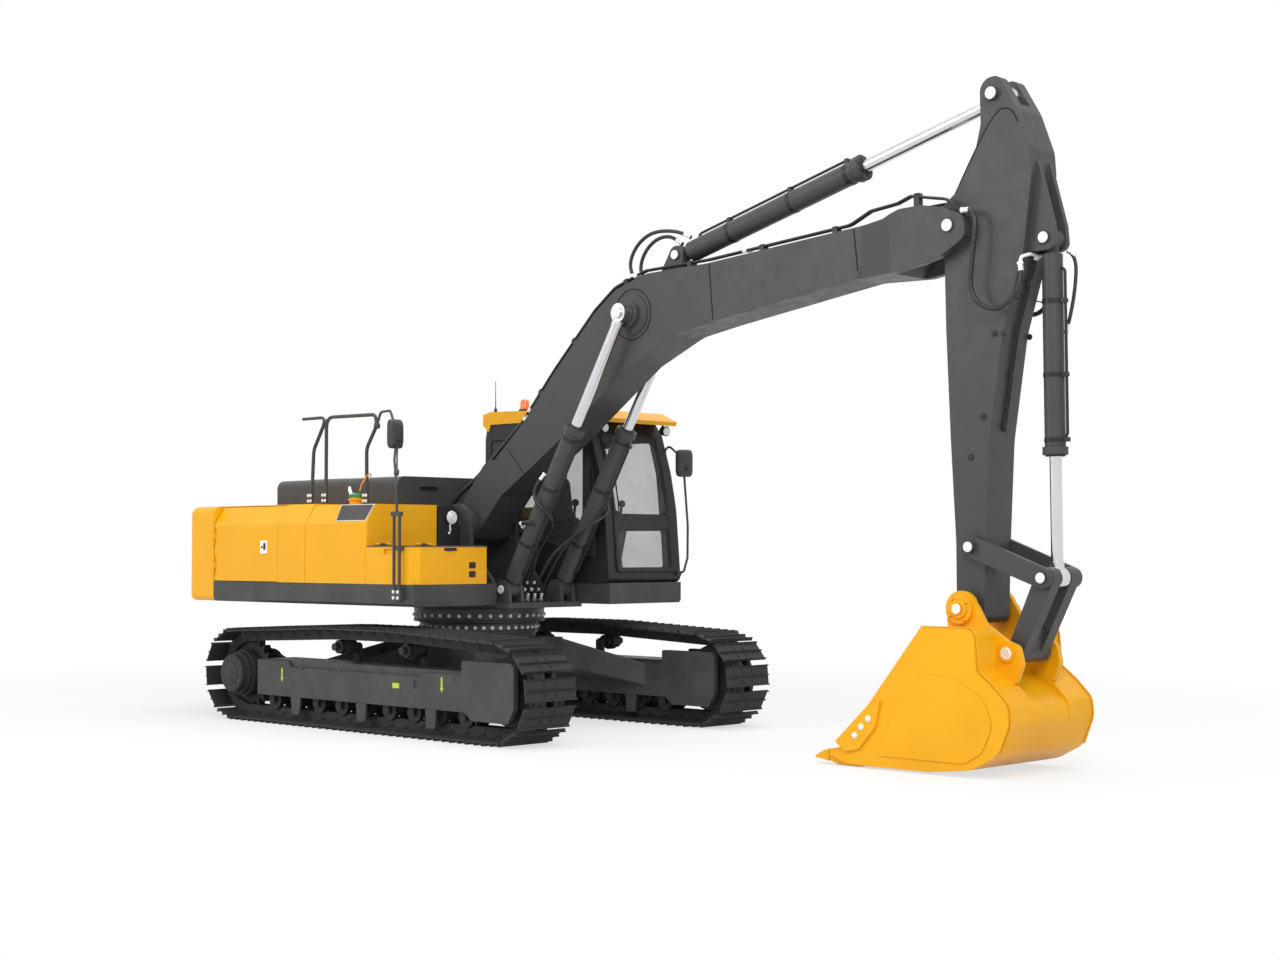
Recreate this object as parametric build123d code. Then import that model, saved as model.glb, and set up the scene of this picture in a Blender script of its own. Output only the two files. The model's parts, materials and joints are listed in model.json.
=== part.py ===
"""Crawler excavator of the 30 tonne class, parked with its bucket on the ground.

Millimetres. X runs forward along the boom, Y to the left (the cab side), Z up.
The origin is on the ground, on the axis that the upper structure swings about.
"""

import os
from math import asin, atan2, cos, degrees, hypot, pi, radians, sin, sqrt

from build123d import *

# Undercarriage
WHEELBASE = 4030.0
GAUGE = 2590.0
SHOE_WIDTH = 600.0
LINKS = 48
SPROCKET_PITCH_R = 366.0
SPROCKET_TEETH = 21
PLATE_T = 12.0
PLATE_GAP = 14.0
GROUSER_H = 26.0
GROUSER_W = 15.0
PIN_TO_PLATE = 60.0
PIN_TO_TREAD = 45.0
RAIL_T = 38.0
RAIL_INNER_Y = 46.0
BOSS_SHARE = 0.56
CARRIER_R = 66.0
CARRIER_RISE = 65.0
CARRIER_X = (-470.0, 560.0)
ROLLER_R = 82.0
ROLLER_COUNT = 9
ROLLER_FIRST_X = -1490.0
ROLLER_LAST_X = 1440.0
RUN_GAP = 0.3
CARRIER_GAP = 4.0
MOTOR_R = 235.0
FRAME_HALF_W = 205.0
FRAME_PLATE_T = 30.0
YOKE_INNER = 165.0
FRAME_Z0 = 270.0
FRAME_FLOOR = 330.0
FRAME_Z1 = 630.0
GUIDE_X = (-1020.0, 26.0, 1053.0)
HUB_R = 190.0

# Slew ring and carbody
CARBODY_Z0 = 560.0
CARBODY_Z1 = 905.0
LOWER_RING_R = 590.0
UPPER_RING_R = 650.0
RING_BORE_R = 430.0
LOWER_RING_Z1 = 1010.0
DECK_Z0 = 1190.0
DECK_Z1 = 1395.0

# Upper structure
HALF_WIDTH = 1490.0
TAIL_R = 3300.0
TAIL_X = -2480.0
CREASE_Z = 1967.0
HOUSING_Z1 = 2170.0
HOUSING_LEAN = 120.0
PANEL_T = 35.0
SEAM = 6.0
SIDE_INNER_Y = 610.0
LEFT_INNER_Y = 462.0
SEAT = 0.3
DOOR_X0 = TAIL_X + 16.0
DOOR_X1 = -1345.0
PANEL_X1 = -883.0
TANK_X0 = -883.0
TANK_X1 = 80.0
TOOLBOX_X1 = 806.0
TOOLBOX_Z1 = 1757.0
TOOLBOX_WALL = 5.0
TREAD_T = 12.0
LID_AXIS_X = TANK_X1 + 14.0
LID_AXIS_Z = TOOLBOX_Z1 + 13.0
HOOD_X0 = -2410.0
HOOD_X1 = -370.0
HOOD_Y0 = -750.0
HOOD_Y1 = 455.0
HOOD_Z1 = 2450.0
HOOD_WALL = 8.0
BEAM_Y = 305.0
BEAM_T = 40.0
BEAM_Z1 = 1500.0
FLOOR_HALF_W = 480.0

# Hinges of the doors, lid and hood
KNUCKLE_R = 12.0
HINGE_PIN_R = 6.0
HINGE_OUT = 13.0

# Cab
CAB_Y0 = 470.0
CAB_Y1 = 1490.0
CAB_Z0 = DECK_Z1 + SEAT
CAB_Z1 = 3010.0
CAB_X0 = -450.0
CAB_WALL = 55.0
GLASS_T = 6.0
GLASS_GAP = 0.3
DOOR_T = 45.0
DOOR_GAP = 6.0

# Pins of the working equipment in the X-Z plane
BOOM_FOOT = (30.0, 1980.0)
BOOM_TIP = (5898.0, 4262.0)
BOOM_CYL_FOOT = (830.0, 1337.0)
BOOM_CYL_EYE = (2350.0, 3870.0)
ARM_CYL_FOOT = (2800.0, 4380.0)
ARM_CYL_EYE = (6255.0, 5262.0)
BUCKET_CYL_FOOT = (6664.0, 4100.0)
ROCKER_PIN = (6060.0, 1740.0)
LINK_PIN = (6690.0, 1505.0)
BUCKET_LINK_PIN = (6420.0, 930.0)
BUCKET_PIN = (6000.0, 1260.0)

BOOM_HALF_W = 200.0
FORK_HALF_W = 280.0
FOOT_HALF_W = 278.0
ARM_HALF_W = 175.0
SIDE_GAP = 5.0
BOOM_CYL_Y = 340.0
PIN_R = 45.0
PIN_FIT = 0.4
CAP_T = 14.0
CAP_R = 52.0

# Hydraulic cylinders: barrel radius, rod radius, eye radius, eye half width
BOOM_CYL = (85.0, 50.0, 88.0, 55.0)
ARM_CYL = (95.0, 52.0, 92.0, 60.0)
BUCKET_CYL = (80.0, 47.0, 80.0, 55.0)
BOOM_BARREL_L = 1780.0
ARM_BARREL_L = 2130.0
BUCKET_BARREL_L = 1660.0
BOOM_ROD_L = 1804.0
ARM_ROD_L = 2400.0
BUCKET_ROD_L = 1900.0
PISTON_L = 60.0
NECK_L = 118.0
BARREL_WALL = 14.0
GLAND_L = 60.0
GLAND_OVER = 12.0
ROD_FIT = 0.5

# Bucket
BUCKET_HALF_W = 600.0
BUCKET_SIDE_T = 25.0
BUCKET_SHELL_T = 22.0
EAR_Y = 262.0
EAR_T = 45.0
TOOTH_COUNT = 5


def side_plane(y):
    """The plane at y whose own axes are X and Z, with its normal along -Y."""
    return Plane(origin=(0, y, 0), x_dir=(1, 0, 0), z_dir=(0, -1, 0))


def front_plane(x):
    """The plane at x whose own axes are Y and Z, with its normal along +X."""
    return Plane(origin=(x, 0, 0), x_dir=(0, 1, 0), z_dir=(1, 0, 0))


def slab_y(face, y0, y1):
    """A face drawn in X and Z, thickened from y0 to y1."""
    return extrude(side_plane(y0) * face, amount=y0 - y1)


def slab_x(face, x0, x1):
    """A face drawn in Y and Z, thickened from x0 to x1."""
    return extrude(front_plane(x0) * face, amount=x1 - x0)


def slab_z(face, z0, z1):
    """A face drawn in X and Y, thickened from z0 to z1."""
    return extrude(Plane.XY.offset(z0) * face, amount=z1 - z0)


def poly(*points):
    """A face with straight sides."""
    return make_face(Polyline(*points, close=True))


def rounded(points, radius):
    """A face with its corners rounded, by one radius or one for each corner."""
    return make_face(FilletPolyline(*points, radius=radius, close=True))


def block(x0, x1, y0, y1, z0, z1):
    """A box between two opposite corners."""
    middle = ((x0 + x1) / 2, (y0 + y1) / 2, (z0 + z1) / 2)
    return Pos(*middle) * Box(abs(x1 - x0), abs(y1 - y0), abs(z1 - z0))


def disc_y(point, radius, y0, y1):
    """A cylinder along Y through a point of the X-Z plane."""
    return Pos(point[0], (y0 + y1) / 2, point[1]) * Rot(90, 0, 0) * Cylinder(radius, abs(y1 - y0))


def bar(start, end, radius):
    """A round bar between two points."""
    run = Vector(*end) - Vector(*start)
    return Plane(origin=start, z_dir=run) * Cylinder(
        radius, run.length, align=(Align.CENTER, Align.CENTER, Align.MIN)
    )


def tube(points, bend, radius):
    """A bent round tube through points, with one bend radius or a list."""
    path = FilletPolyline(*points, radius=bend)
    section = Plane(origin=path @ 0, z_dir=path % 0) * Circle(radius)
    return sweep(section, path=path)


def strap(p, rp, q, rq):
    """The face that a belt round two circles encloses."""
    p, q = Vector(*p), Vector(*q)
    along = (q - p).normalized()
    across = Vector(-along.Y, along.X)
    lean = (rp - rq) / (q - p).length
    flat = sqrt(1 - lean * lean)
    left = along * lean + across * flat
    right = along * lean - across * flat
    corners = [p + left * rp, q + left * rq, q + right * rq, p + right * rp]
    middle = make_face(Polyline(*[(c.X, c.Y) for c in corners], close=True))
    return middle + Pos(p.X, p.Y) * Circle(rp) + Pos(q.X, q.Y) * Circle(rq)


def pin_hinge(place, half):
    """A hinge along the place's own Z: the moving knuckle, the fixed pair with their pin, and the bore."""
    end = half + SEAM + 2 * half
    fixed = place * Cylinder(HINGE_PIN_R, 2 * end)
    for s in (-1, 1):
        fixed += place * Pos(0, 0, s * (half + SEAM + half)) * Cylinder(KNUCKLE_R, 2 * half)
    return place * Cylinder(KNUCKLE_R, 2 * half), fixed, place * Cylinder(HINGE_PIN_R + PIN_FIT, 2 * end)


def mirrored(shape):
    """The same piece on the other side of the machine."""
    return mirror(shape, about=Plane.XZ)


def save(name, *shapes):
    """Write one node, of one or more solids that don't touch."""
    solids = [s for shape in shapes for s in shape.solids()]
    whole = solids[0] if len(solids) == 1 else Compound(children=solids)
    export_step(whole, f"parts/{name}.step")


# Tracks

TRACK_Y = GAUGE / 2
GROUND_TO_PIN = GROUSER_H + PLATE_T + PIN_TO_PLATE
WHEEL_Z = GROUND_TO_PIN + SPROCKET_PITCH_R
TREAD_Z = GROUND_TO_PIN + PIN_TO_TREAD
ROLLER_Z = TREAD_Z + RUN_GAP + ROLLER_R
CARRIER_PIN_Z = WHEEL_Z + SPROCKET_PITCH_R + CARRIER_RISE
CARRIER_Z = CARRIER_PIN_Z - PIN_TO_TREAD - CARRIER_GAP - CARRIER_R


def belt(circles):
    """Straight runs and arcs of a belt round circles listed anticlockwise, as (start, end, centre, radius)."""
    runs = []
    for (c0, r0), (c1, r1) in zip(circles, circles[1:] + circles[:1]):
        gap = hypot(c1[0] - c0[0], c1[1] - c0[1])
        heading = atan2(c1[1] - c0[1], c1[0] - c0[0])
        normal = heading - pi / 2 + asin((r0 - r1) / gap)
        out = (cos(normal), sin(normal))
        start = (c0[0] + r0 * out[0], c0[1] + r0 * out[1])
        end = (c1[0] + r1 * out[0], c1[1] + r1 * out[1])
        runs.append((start, end, normal))
    pieces = []
    for i, (start, end, normal) in enumerate(runs):
        pieces.append(("run", start, end, normal))
        centre, radius = circles[(i + 1) % len(circles)]
        following = runs[(i + 1) % len(runs)][2]
        turn = (following - normal) % (2 * pi)
        pieces.append(("arc", centre, radius, normal, turn))
    return pieces


def chain_path():
    """The line that the track's pins follow, round the idler, two carriers and sprocket."""
    half = WHEELBASE / 2
    carrier_r = CARRIER_R + PIN_TO_TREAD + CARRIER_GAP
    circles = [((-half, WHEEL_Z), SPROCKET_PITCH_R), ((half, WHEEL_Z), SPROCKET_PITCH_R)]
    circles += [((x, CARRIER_Z), carrier_r) for x in reversed(CARRIER_X)]
    return belt(circles)


def chain_frames():
    """Each shoe's place: its middle point on the pin line and the direction it faces outward."""
    pieces = chain_path()
    lengths = []
    for piece in pieces:
        if piece[0] == "run":
            lengths.append(hypot(piece[2][0] - piece[1][0], piece[2][1] - piece[1][1]))
        else:
            lengths.append(piece[2] * piece[4])
    total = sum(lengths)

    def at(distance):
        distance %= total
        for piece, length in zip(pieces, lengths):
            if distance <= length:
                break
            distance -= length
        if piece[0] == "run":
            share = distance / length
            return tuple(a + (b - a) * share for a, b in zip(piece[1], piece[2]))
        angle = piece[3] + distance / piece[2]
        return (piece[1][0] + piece[2] * cos(angle), piece[1][1] + piece[2] * sin(angle))

    pins = [at(total * i / LINKS) for i in range(LINKS)]
    frames = []
    for a, b in zip(pins, pins[1:] + pins[:1]):
        middle = ((a[0] + b[0]) / 2, (a[1] + b[1]) / 2)
        pitch = hypot(b[0] - a[0], b[1] - a[1])
        along = ((b[0] - a[0]) / pitch, (b[1] - a[1]) / pitch)
        frames.append((middle, along, (along[1], -along[0]), pitch))
    return frames


def on_link(frame, along, out):
    """A point given along a link and outward from its pin line, in X and Z."""
    middle, a, o, _ = frame
    return (middle[0] + a[0] * along + o[0] * out, middle[1] + a[1] * along + o[1] * out)


def shoe(frame, y0, y1):
    """One triple-grouser plate."""
    half = (frame[3] - PLATE_GAP) / 2
    top = PIN_TO_PLATE + PLATE_T
    tip = top + GROUSER_H
    outline = [
        (-half, PIN_TO_PLATE),
        (-half, tip),
        (-half + GROUSER_W, top),
        (-GROUSER_W / 2, top),
        (0, tip),
        (GROUSER_W / 2, top),
        (half - GROUSER_W, top),
        (half, tip),
        (half, PIN_TO_PLATE),
    ]
    return slab_y(poly(*[on_link(frame, s, h) for s, h in outline]), y0, y1)


def rail(frames, y0, y1):
    """One of the two chains of links under the shoes, with a waist between its bosses."""
    outside, inside = [], []
    for frame in frames:
        half = (frame[3] - PLATE_GAP) / 2
        outside += [on_link(frame, -half, PIN_TO_PLATE), on_link(frame, half, PIN_TO_PLATE)]
        boss = BOSS_SHARE * frame[3] / 2
        inside += [on_link(frame, -boss, -PIN_TO_TREAD), on_link(frame, boss, -PIN_TO_TREAD)]
    return slab_y(poly(*outside), y0, y1) - slab_y(poly(*inside), y0, y1)


def track(side):
    """A whole track as one loop: two rails and the shoes that they carry."""
    y = side * TRACK_Y
    frames = chain_frames()
    shoes = [shoe(f, y - SHOE_WIDTH / 2, y + SHOE_WIDTH / 2) for f in frames]
    inner, outer = RAIL_INNER_Y, RAIL_INNER_Y + RAIL_T
    rails = [rail(frames, y + a, y + b) for a, b in ((-outer, -inner), (inner, outer))]
    return rails[0].fuse(rails[1], *shoes)


def sprocket(side):
    """Toothed wheel between the rails, with the round travel drive on its outer side."""
    y = side * TRACK_Y
    half = RAIL_INNER_Y - 8
    tip = SPROCKET_PITCH_R - 8
    root = SPROCKET_PITCH_R - 58
    points = []
    for i in range(SPROCKET_TEETH):
        for share, radius in ((-0.28, root), (-0.1, tip), (0.1, tip), (0.28, root)):
            angle = 2 * pi * (i + share) / SPROCKET_TEETH
            points.append((-WHEELBASE / 2 + radius * cos(angle), WHEEL_Z + radius * sin(angle)))
    wheel = slab_y(poly(*points), y - half, y + half)
    centre = (-WHEELBASE / 2, WHEEL_Z)
    drive_out = y + side * 285
    housing = disc_y(centre, MOTOR_R, y - side * 230, y + side * 150)
    cover = disc_y(centre, HUB_R + 22, y, y + side * 205) + disc_y(centre, HUB_R, y, drive_out)
    cover = chamfer(cover.edges().filter_by(GeomType.CIRCLE).sort_by(Axis.Y)[-1 if side > 0 else 0], 12)
    return wheel + housing + cover


def idler(side):
    """Front idler wheel running on the rails, with its middle flange and axle block."""
    y = side * TRACK_Y
    centre = (WHEELBASE / 2, WHEEL_Z)
    pitch = max(frame[3] for frame in chain_frames()) + 1
    tread_r = sqrt(SPROCKET_PITCH_R**2 - (pitch / 2) ** 2) - PIN_TO_TREAD - RUN_GAP
    flange = RAIL_INNER_Y - 8
    wheel = disc_y(centre, tread_r, y - 92, y + 92) + disc_y(centre, tread_r + 22, y - flange, y + flange)
    for s in (-1, 1):
        dish = disc_y(centre, tread_r - 40, y + s * 70, y + s * 110)
        wheel -= dish
    reach = YOKE_INNER - SEAT
    return wheel + disc_y(centre, 50, y - reach, y + reach)


def rollers(side):
    """Bottom rollers and the two carrier rollers of one track."""
    y = side * TRACK_Y
    solids = []
    step = (ROLLER_LAST_X - ROLLER_FIRST_X) / (ROLLER_COUNT - 1)
    for i in range(ROLLER_COUNT):
        centre = (ROLLER_FIRST_X + i * step, ROLLER_Z)
        body = disc_y(centre, 62, y - 100, y + 100)
        for s in (-1, 1):
            tread = disc_y(centre, ROLLER_R, y + s * 40, y + s * 88)
            rim = disc_y(centre, ROLLER_R + 18, y + s * 92, y + s * 112)
            cap = block(centre[0] - 38, centre[0] + 38, y + s * 118, y + s * 150, ROLLER_Z - 32, FRAME_FLOOR - SEAT)
            body += tread + rim + disc_y(centre, 32, y + s * 100, y + s * 125) + cap
        solids.append(body)
    return solids


def carriers(side):
    """The two carrier rollers that hold the upper run, on brackets off the frame."""
    y = side * TRACK_Y
    solids = []
    for x in CARRIER_X:
        centre = (x, CARRIER_Z)
        wheel = disc_y(centre, CARRIER_R, y - 95, y + 95)
        wheel += disc_y(centre, CARRIER_R + 16, y - 34, y + 34)
        wheel += disc_y(centre, 36, y + side * 150, y - side * 165)
        stand = block(x - 45, x + 45, y - side * 165, y - side * 125, FRAME_Z1 + SEAT, CARRIER_Z + 20)
        solids.append(wheel + stand)
    return solids


def track_frame(side):
    """Box frame inside one track, with the idler yoke, roller guides and carrier seats."""
    y = side * TRACK_Y
    y0, y1 = y - FRAME_HALF_W, y + FRAME_HALF_W
    body_face = rounded(
        [
            (-1660, FRAME_FLOOR - 20),
            (-1600, FRAME_FLOOR),
            (1560, FRAME_FLOOR),
            (1560, FRAME_Z1),
            (-1560, FRAME_Z1),
            (-1660, FRAME_Z1 - 60),
        ],
        20,
    )
    body = slab_y(body_face, y0 + FRAME_PLATE_T, y1 - FRAME_PLATE_T)
    skirt_face = rounded(
        [(-1660, FRAME_Z0), (1560, FRAME_Z0), (1560, 600), (980, 600), (940, 560), (-1100, 560), (-1140, 620), (-1660, 620)],
        12,
    )
    for a, b in ((y0, y0 + FRAME_PLATE_T + 1), (y1 - FRAME_PLATE_T - 1, y1)):
        body += slab_y(skirt_face, a, b)
    yoke_face = rounded([(1500, 300), (1640, 200), (2120, 200), (2195, 330), (2195, 690), (2150, 730), (1500, 730)], 22)
    for a, b in ((y0 - 12, y - YOKE_INNER), (y + YOKE_INNER, y1 + 12)):
        body += slab_y(yoke_face, a, b)
    body -= block(1620, 2300, y - YOKE_INNER, y + YOKE_INNER, 100, 900)
    motor = (-WHEELBASE / 2, WHEEL_Z)
    bracket = strap(motor, MOTOR_R + 30, (-1600, 480), 120)
    body += slab_y(bracket, *sorted((y - side * 100, y - side * 140)))
    body -= disc_y(motor, MOTOR_R + SEAT, y - side * 90, y - side * 150)
    slot = block(815, 895, y0 - 20, y0 + 12, 455, 520) + block(815, 895, y1 - 12, y1 + 20, 455, 520)
    body -= slot
    body -= disc_y((-WHEELBASE / 2, WHEEL_Z), SPROCKET_PITCH_R + 12, y - 60, y + 60)
    for x in GUIDE_X:
        guide = rounded([(x - 80, 300), (x - 60, 96), (x + 60, 96), (x + 80, 300)], 10)
        for a, b in ((y0 + 4, y0 + 26), (y1 - 26, y1 - 4)):
            body += slab_y(guide, a, b)
    return body


def carbody():
    """Centre frame: a box under the slew ring and two legs to each track frame."""
    reach = TRACK_Y - FRAME_HALF_W
    drum = slab_z(Circle(LOWER_RING_R - 30), CARBODY_Z0, CARBODY_Z1)
    plan = poly((-560, -620), (560, -620), (560, 620), (-560, 620))
    hub = slab_z(plan, CARBODY_Z0, CARBODY_Z1 - 60)
    legs = []
    for sx in (-1, 1):
        for sy in (-1, 1):
            near = Plane.XZ.offset(-sy * 560) * rounded_box(sx * 330, 715, 420, 270)
            far = Plane.XZ.offset(-sy * (reach - SEAT)) * rounded_box(sx * 980, 480, 560, 220)
            legs.append(loft([near, far]))
    whole = hub + drum
    for leg in legs:
        whole += leg
    return whole


def rounded_box(x, z, width, height):
    """A rounded rectangle in X and Z, centred at x and z."""
    return Pos(x, z) * RectangleRounded(width, height, 20)


def slew_rings():
    """The lower and the upper ring of the slew bearing."""
    lower = slab_z(Circle(LOWER_RING_R) - Circle(RING_BORE_R), CARBODY_Z1 + SEAT, LOWER_RING_Z1)
    upper = slab_z(
        Circle(UPPER_RING_R) - Circle(RING_BORE_R + 20), LOWER_RING_Z1 + SEAT, DECK_Z0 - 30 - SEAT
    )
    return lower, upper


def undercarriage():
    """Everything that stays on the ground."""
    save("carbody", carbody())
    for side, name in ((-1, "right"), (1, "left")):
        save(f"track_{name}", track(side))
        save(f"track_frame_{name}", track_frame(side))
        save(f"final_drive_{name}", sprocket(side))
        save(f"idler_{name}", idler(side))
        save(f"rollers_{name}", *rollers(side), *carriers(side))


# Upper structure


def main_frame():
    """Deck of the upper structure with the boom uprights and the cylinder ears."""
    rear = TAIL_X + SEAT
    floor = block(rear, 980, -FLOOR_HALF_W, FLOOR_HALF_W, DECK_Z0 - 30, DECK_Z0 + 20)
    ring_seat = slab_z(Circle(UPPER_RING_R), DECK_Z0 - 30, DECK_Z0 - SEAT)
    whole = floor + ring_seat
    foot = BOOM_FOOT
    upright = rounded(
        [(-900, DECK_Z0), (640, DECK_Z0), (560, 1420), (215, 1760), (-195, 1760), (-420, 1560), (-900, 1500)],
        [1, 1, 60, 120, 120, 60, 40],
    )
    upright = upright + strap(foot, 195, (foot[0] - 10, 1700), 225)
    for y0, y1 in ((-BEAM_Y - BEAM_T / 2, -BEAM_Y + BEAM_T / 2), (BEAM_Y - BEAM_T / 2, BEAM_Y + BEAM_T / 2)):
        whole += slab_y(upright, y0, y1)
    whole += block(-440, -400, -BEAM_Y, BEAM_Y, DECK_Z0, 1540)
    whole += block(380, 640, -BEAM_Y, BEAM_Y, DECK_Z0, 1290)
    rear_beam = poly((rear, DECK_Z0), (-860, DECK_Z0), (-860, BEAM_Z1), (-2100, BEAM_Z1), (rear, BEAM_Z1 - 90))
    for y0, y1 in ((-BEAM_Y - BEAM_T / 2, -BEAM_Y + BEAM_T / 2), (BEAM_Y - BEAM_T / 2, BEAM_Y + BEAM_T / 2)):
        whole += slab_y(rear_beam, y0, y1)
    ear = strap(BOOM_CYL_FOOT, 92, (BOOM_CYL_FOOT[0] - 20, DECK_Z0 + 10), 130)
    inner = BOOM_CYL_Y - BOOM_CYL[3] - SIDE_GAP
    outer = BOOM_CYL_Y + BOOM_CYL[3] + SIDE_GAP
    cut = block(0, 2000, -700, 700, 0, DECK_Z0 - 30)
    for side in (-1, 1):
        for y0, y1 in ((inner - 40, inner), (outer, outer + 40)):
            lo, hi = sorted((side * y0, side * y1))
            whole += slab_y(ear, lo, hi) - cut
        lo, hi = sorted((side * (inner - 20), side * (outer + 48)))
        whole += disc_y(BOOM_CYL_FOOT, PIN_R, lo, hi)
        lo, hi = sorted((side * 240, side * (FOOT_HALF_W + 66)))
        whole += disc_y(foot, PIN_R + 8, lo, hi)
    return whole


def side_deck(side):
    """Deck box under one side's housings, with its rounded skirt."""
    x0, x1 = TAIL_X + SEAM, TOOLBOX_X1 if side < 0 else CAB_FRONT_X
    lo, hi = sorted((side * (FLOOR_HALF_W + SEAT), side * HALF_WIDTH))
    deck = block(x0, x1, lo, hi, DECK_Z0, DECK_Z1)
    lower = deck.edges().filter_by(Axis.X).sort_by(Axis.Z)[:2]
    outer_edge = [e for e in lower if abs(abs(e.center().Y) - HALF_WIDTH) < 1]
    deck = chamfer(outer_edge, 25)
    return deck


CAB_FRONT_X = 1372.0


def counterweight():
    """Cast weight with a round tail, a leaning top and rounded lower edge."""
    half_side = sqrt(TAIL_R**2 - HALF_WIDTH**2)
    outline = make_face(
        [
            Line((TAIL_X, -HALF_WIDTH), (-half_side, -HALF_WIDTH)),
            ThreePointArc((-half_side, -HALF_WIDTH), (-TAIL_R, 0), (-half_side, HALF_WIDTH)),
            Line((-half_side, HALF_WIDTH), (TAIL_X, HALF_WIDTH)),
            Line((TAIL_X, HALF_WIDTH), (TAIL_X, -HALF_WIDTH)),
        ]
    )
    weight = slab_z(outline, DECK_Z0, HOUSING_Z1)
    weight = fillet(weight.edges().filter_by(Axis.Z).sort_by(Axis.X)[:2], 160)
    rear = [e for e in weight.edges().group_by(Axis.Z)[0] if e.center().X < TAIL_X - 5]
    weight = fillet(rear, 60)
    top = [e for e in weight.edges().group_by(Axis.Z)[-1] if e.center().X < TAIL_X - 5]
    return fillet(top, 90)


def housing_section(side, z0, z1):
    """Section through a side housing in Y and Z: upright, then leaning in above the crease."""
    inner = -SIDE_INNER_Y if side < 0 else LEFT_INNER_Y
    return poly(
        (inner, z0),
        (side * HALF_WIDTH, z0),
        (side * HALF_WIDTH, CREASE_Z),
        (side * (HALF_WIDTH - HOUSING_LEAN), z1),
        (inner, z1),
    )


def housing_shell(side, x0, x1):
    """Hollow housing, open towards its door."""
    return slab_x(housing_section(side, DECK_Z1 + SEAT, HOUSING_Z1), x0, x1)


def side_hinges(side):
    """Two upright hinges at a side door's rear edge: what the door carries, and what its housing carries."""
    x, y = DOOR_X0 + 2, side * (HALF_WIDTH + HINGE_OUT)
    leaves, frames = [], []
    for z in (1560, 1860):
        moving, fixed, bore = pin_hinge(Pos(x, y, z), 30)
        moving += block(x, x + 30, y, side * (HALF_WIDTH - 1), z - 30, z + 30)
        for s in (-1, 1):
            low = z + s * (60 + SEAM) - 30
            fixed += block(TAIL_X + SEAM, TAIL_X + SEAM + 5, y, side * (HALF_WIDTH - PANEL_T - 40), low, low + 60)
        leaves.append(moving - bore)
        frames.append(fixed)
    return leaves, frames


def side_door(side, x0, x1):
    """Leaning sheet door: the outer skin of a side housing, as thick as its frame."""
    s = side
    section = poly(
        (s * (HALF_WIDTH - PANEL_T), DECK_Z1 + SEAM),
        (s * HALF_WIDTH, DECK_Z1 + SEAM),
        (s * HALF_WIDTH, CREASE_Z),
        (s * (HALF_WIDTH - HOUSING_LEAN + 8), HOUSING_Z1 - 14),
        (s * (HALF_WIDTH - HOUSING_LEAN + 8 - PANEL_T), HOUSING_Z1 - 14),
        (s * (HALF_WIDTH - PANEL_T), CREASE_Z - 8),
    )
    door = slab_x(section, x0, x1 - SEAM / 2)
    for knuckle in side_hinges(side)[0]:
        door += knuckle
    return door


def door_bay(side, x0, x1, depth):
    """What is cut from a housing for its door and the room behind it."""
    s = side
    section = poly(
        (s * (HALF_WIDTH - depth), DECK_Z1 + 30),
        (s * (HALF_WIDTH + 5), DECK_Z1 + 30),
        (s * (HALF_WIDTH + 5), HOUSING_Z1 - 10),
        (s * (HALF_WIDTH - HOUSING_LEAN - 40), HOUSING_Z1 - 10),
        (s * (HALF_WIDTH - depth), HOUSING_Z1 - 80),
    )
    skin = poly(
        (s * (HALF_WIDTH - PANEL_T - SEAM), DECK_Z1 - 1),
        (s * (HALF_WIDTH + 5), DECK_Z1 - 1),
        (s * (HALF_WIDTH + 5), HOUSING_Z1 - 8),
        (s * (HALF_WIDTH - HOUSING_LEAN - PANEL_T), HOUSING_Z1 - 8),
        (s * (HALF_WIDTH - PANEL_T - SEAM), CREASE_Z - 12),
    )
    return slab_x(section, x0 + 30, x1 - 30) + slab_x(skin, x0, x1)


def right_housing():
    """Pump compartment behind the right door."""
    shell = housing_shell(-1, TAIL_X + SEAM, PANEL_X1 - SEAM) - door_bay(-1, TAIL_X + SEAM, DOOR_X1, 700)
    for hinge in side_hinges(-1)[1]:
        shell += hinge
    return shell


def left_housing():
    """Cooler compartment behind the left door, up to the cab's rear."""
    shell = housing_shell(1, TAIL_X + SEAM, CAB_X0 - 60) - door_bay(1, TAIL_X + SEAM, DOOR_X1 + 100, 700)
    for hinge in side_hinges(1)[1]:
        shell += hinge
    return shell


def fuel_tank():
    """Tank between the pump compartment and the tool box, with its filler neck."""
    tank = slab_x(housing_section(-1, DECK_Z1 + SEAT, HOUSING_Z1 - 15), TANK_X0, TANK_X1)
    tank = fillet(tank.edges().filter_by(Axis.Z).sort_by(Axis.X)[-2:], 25)
    neck = Pos(-640, -1060, HOUSING_Z1 + 25) * Cylinder(62, 90)
    return tank + neck


def fuel_cap():
    """Green filler cap."""
    neck_top = HOUSING_Z1 + 70.3
    cap = Pos(-640, -1060, neck_top + 16) * Cylinder(66, 32)
    return fillet(cap.edges().filter_by(GeomType.CIRCLE).sort_by(Axis.Z)[-1], 8)


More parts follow.
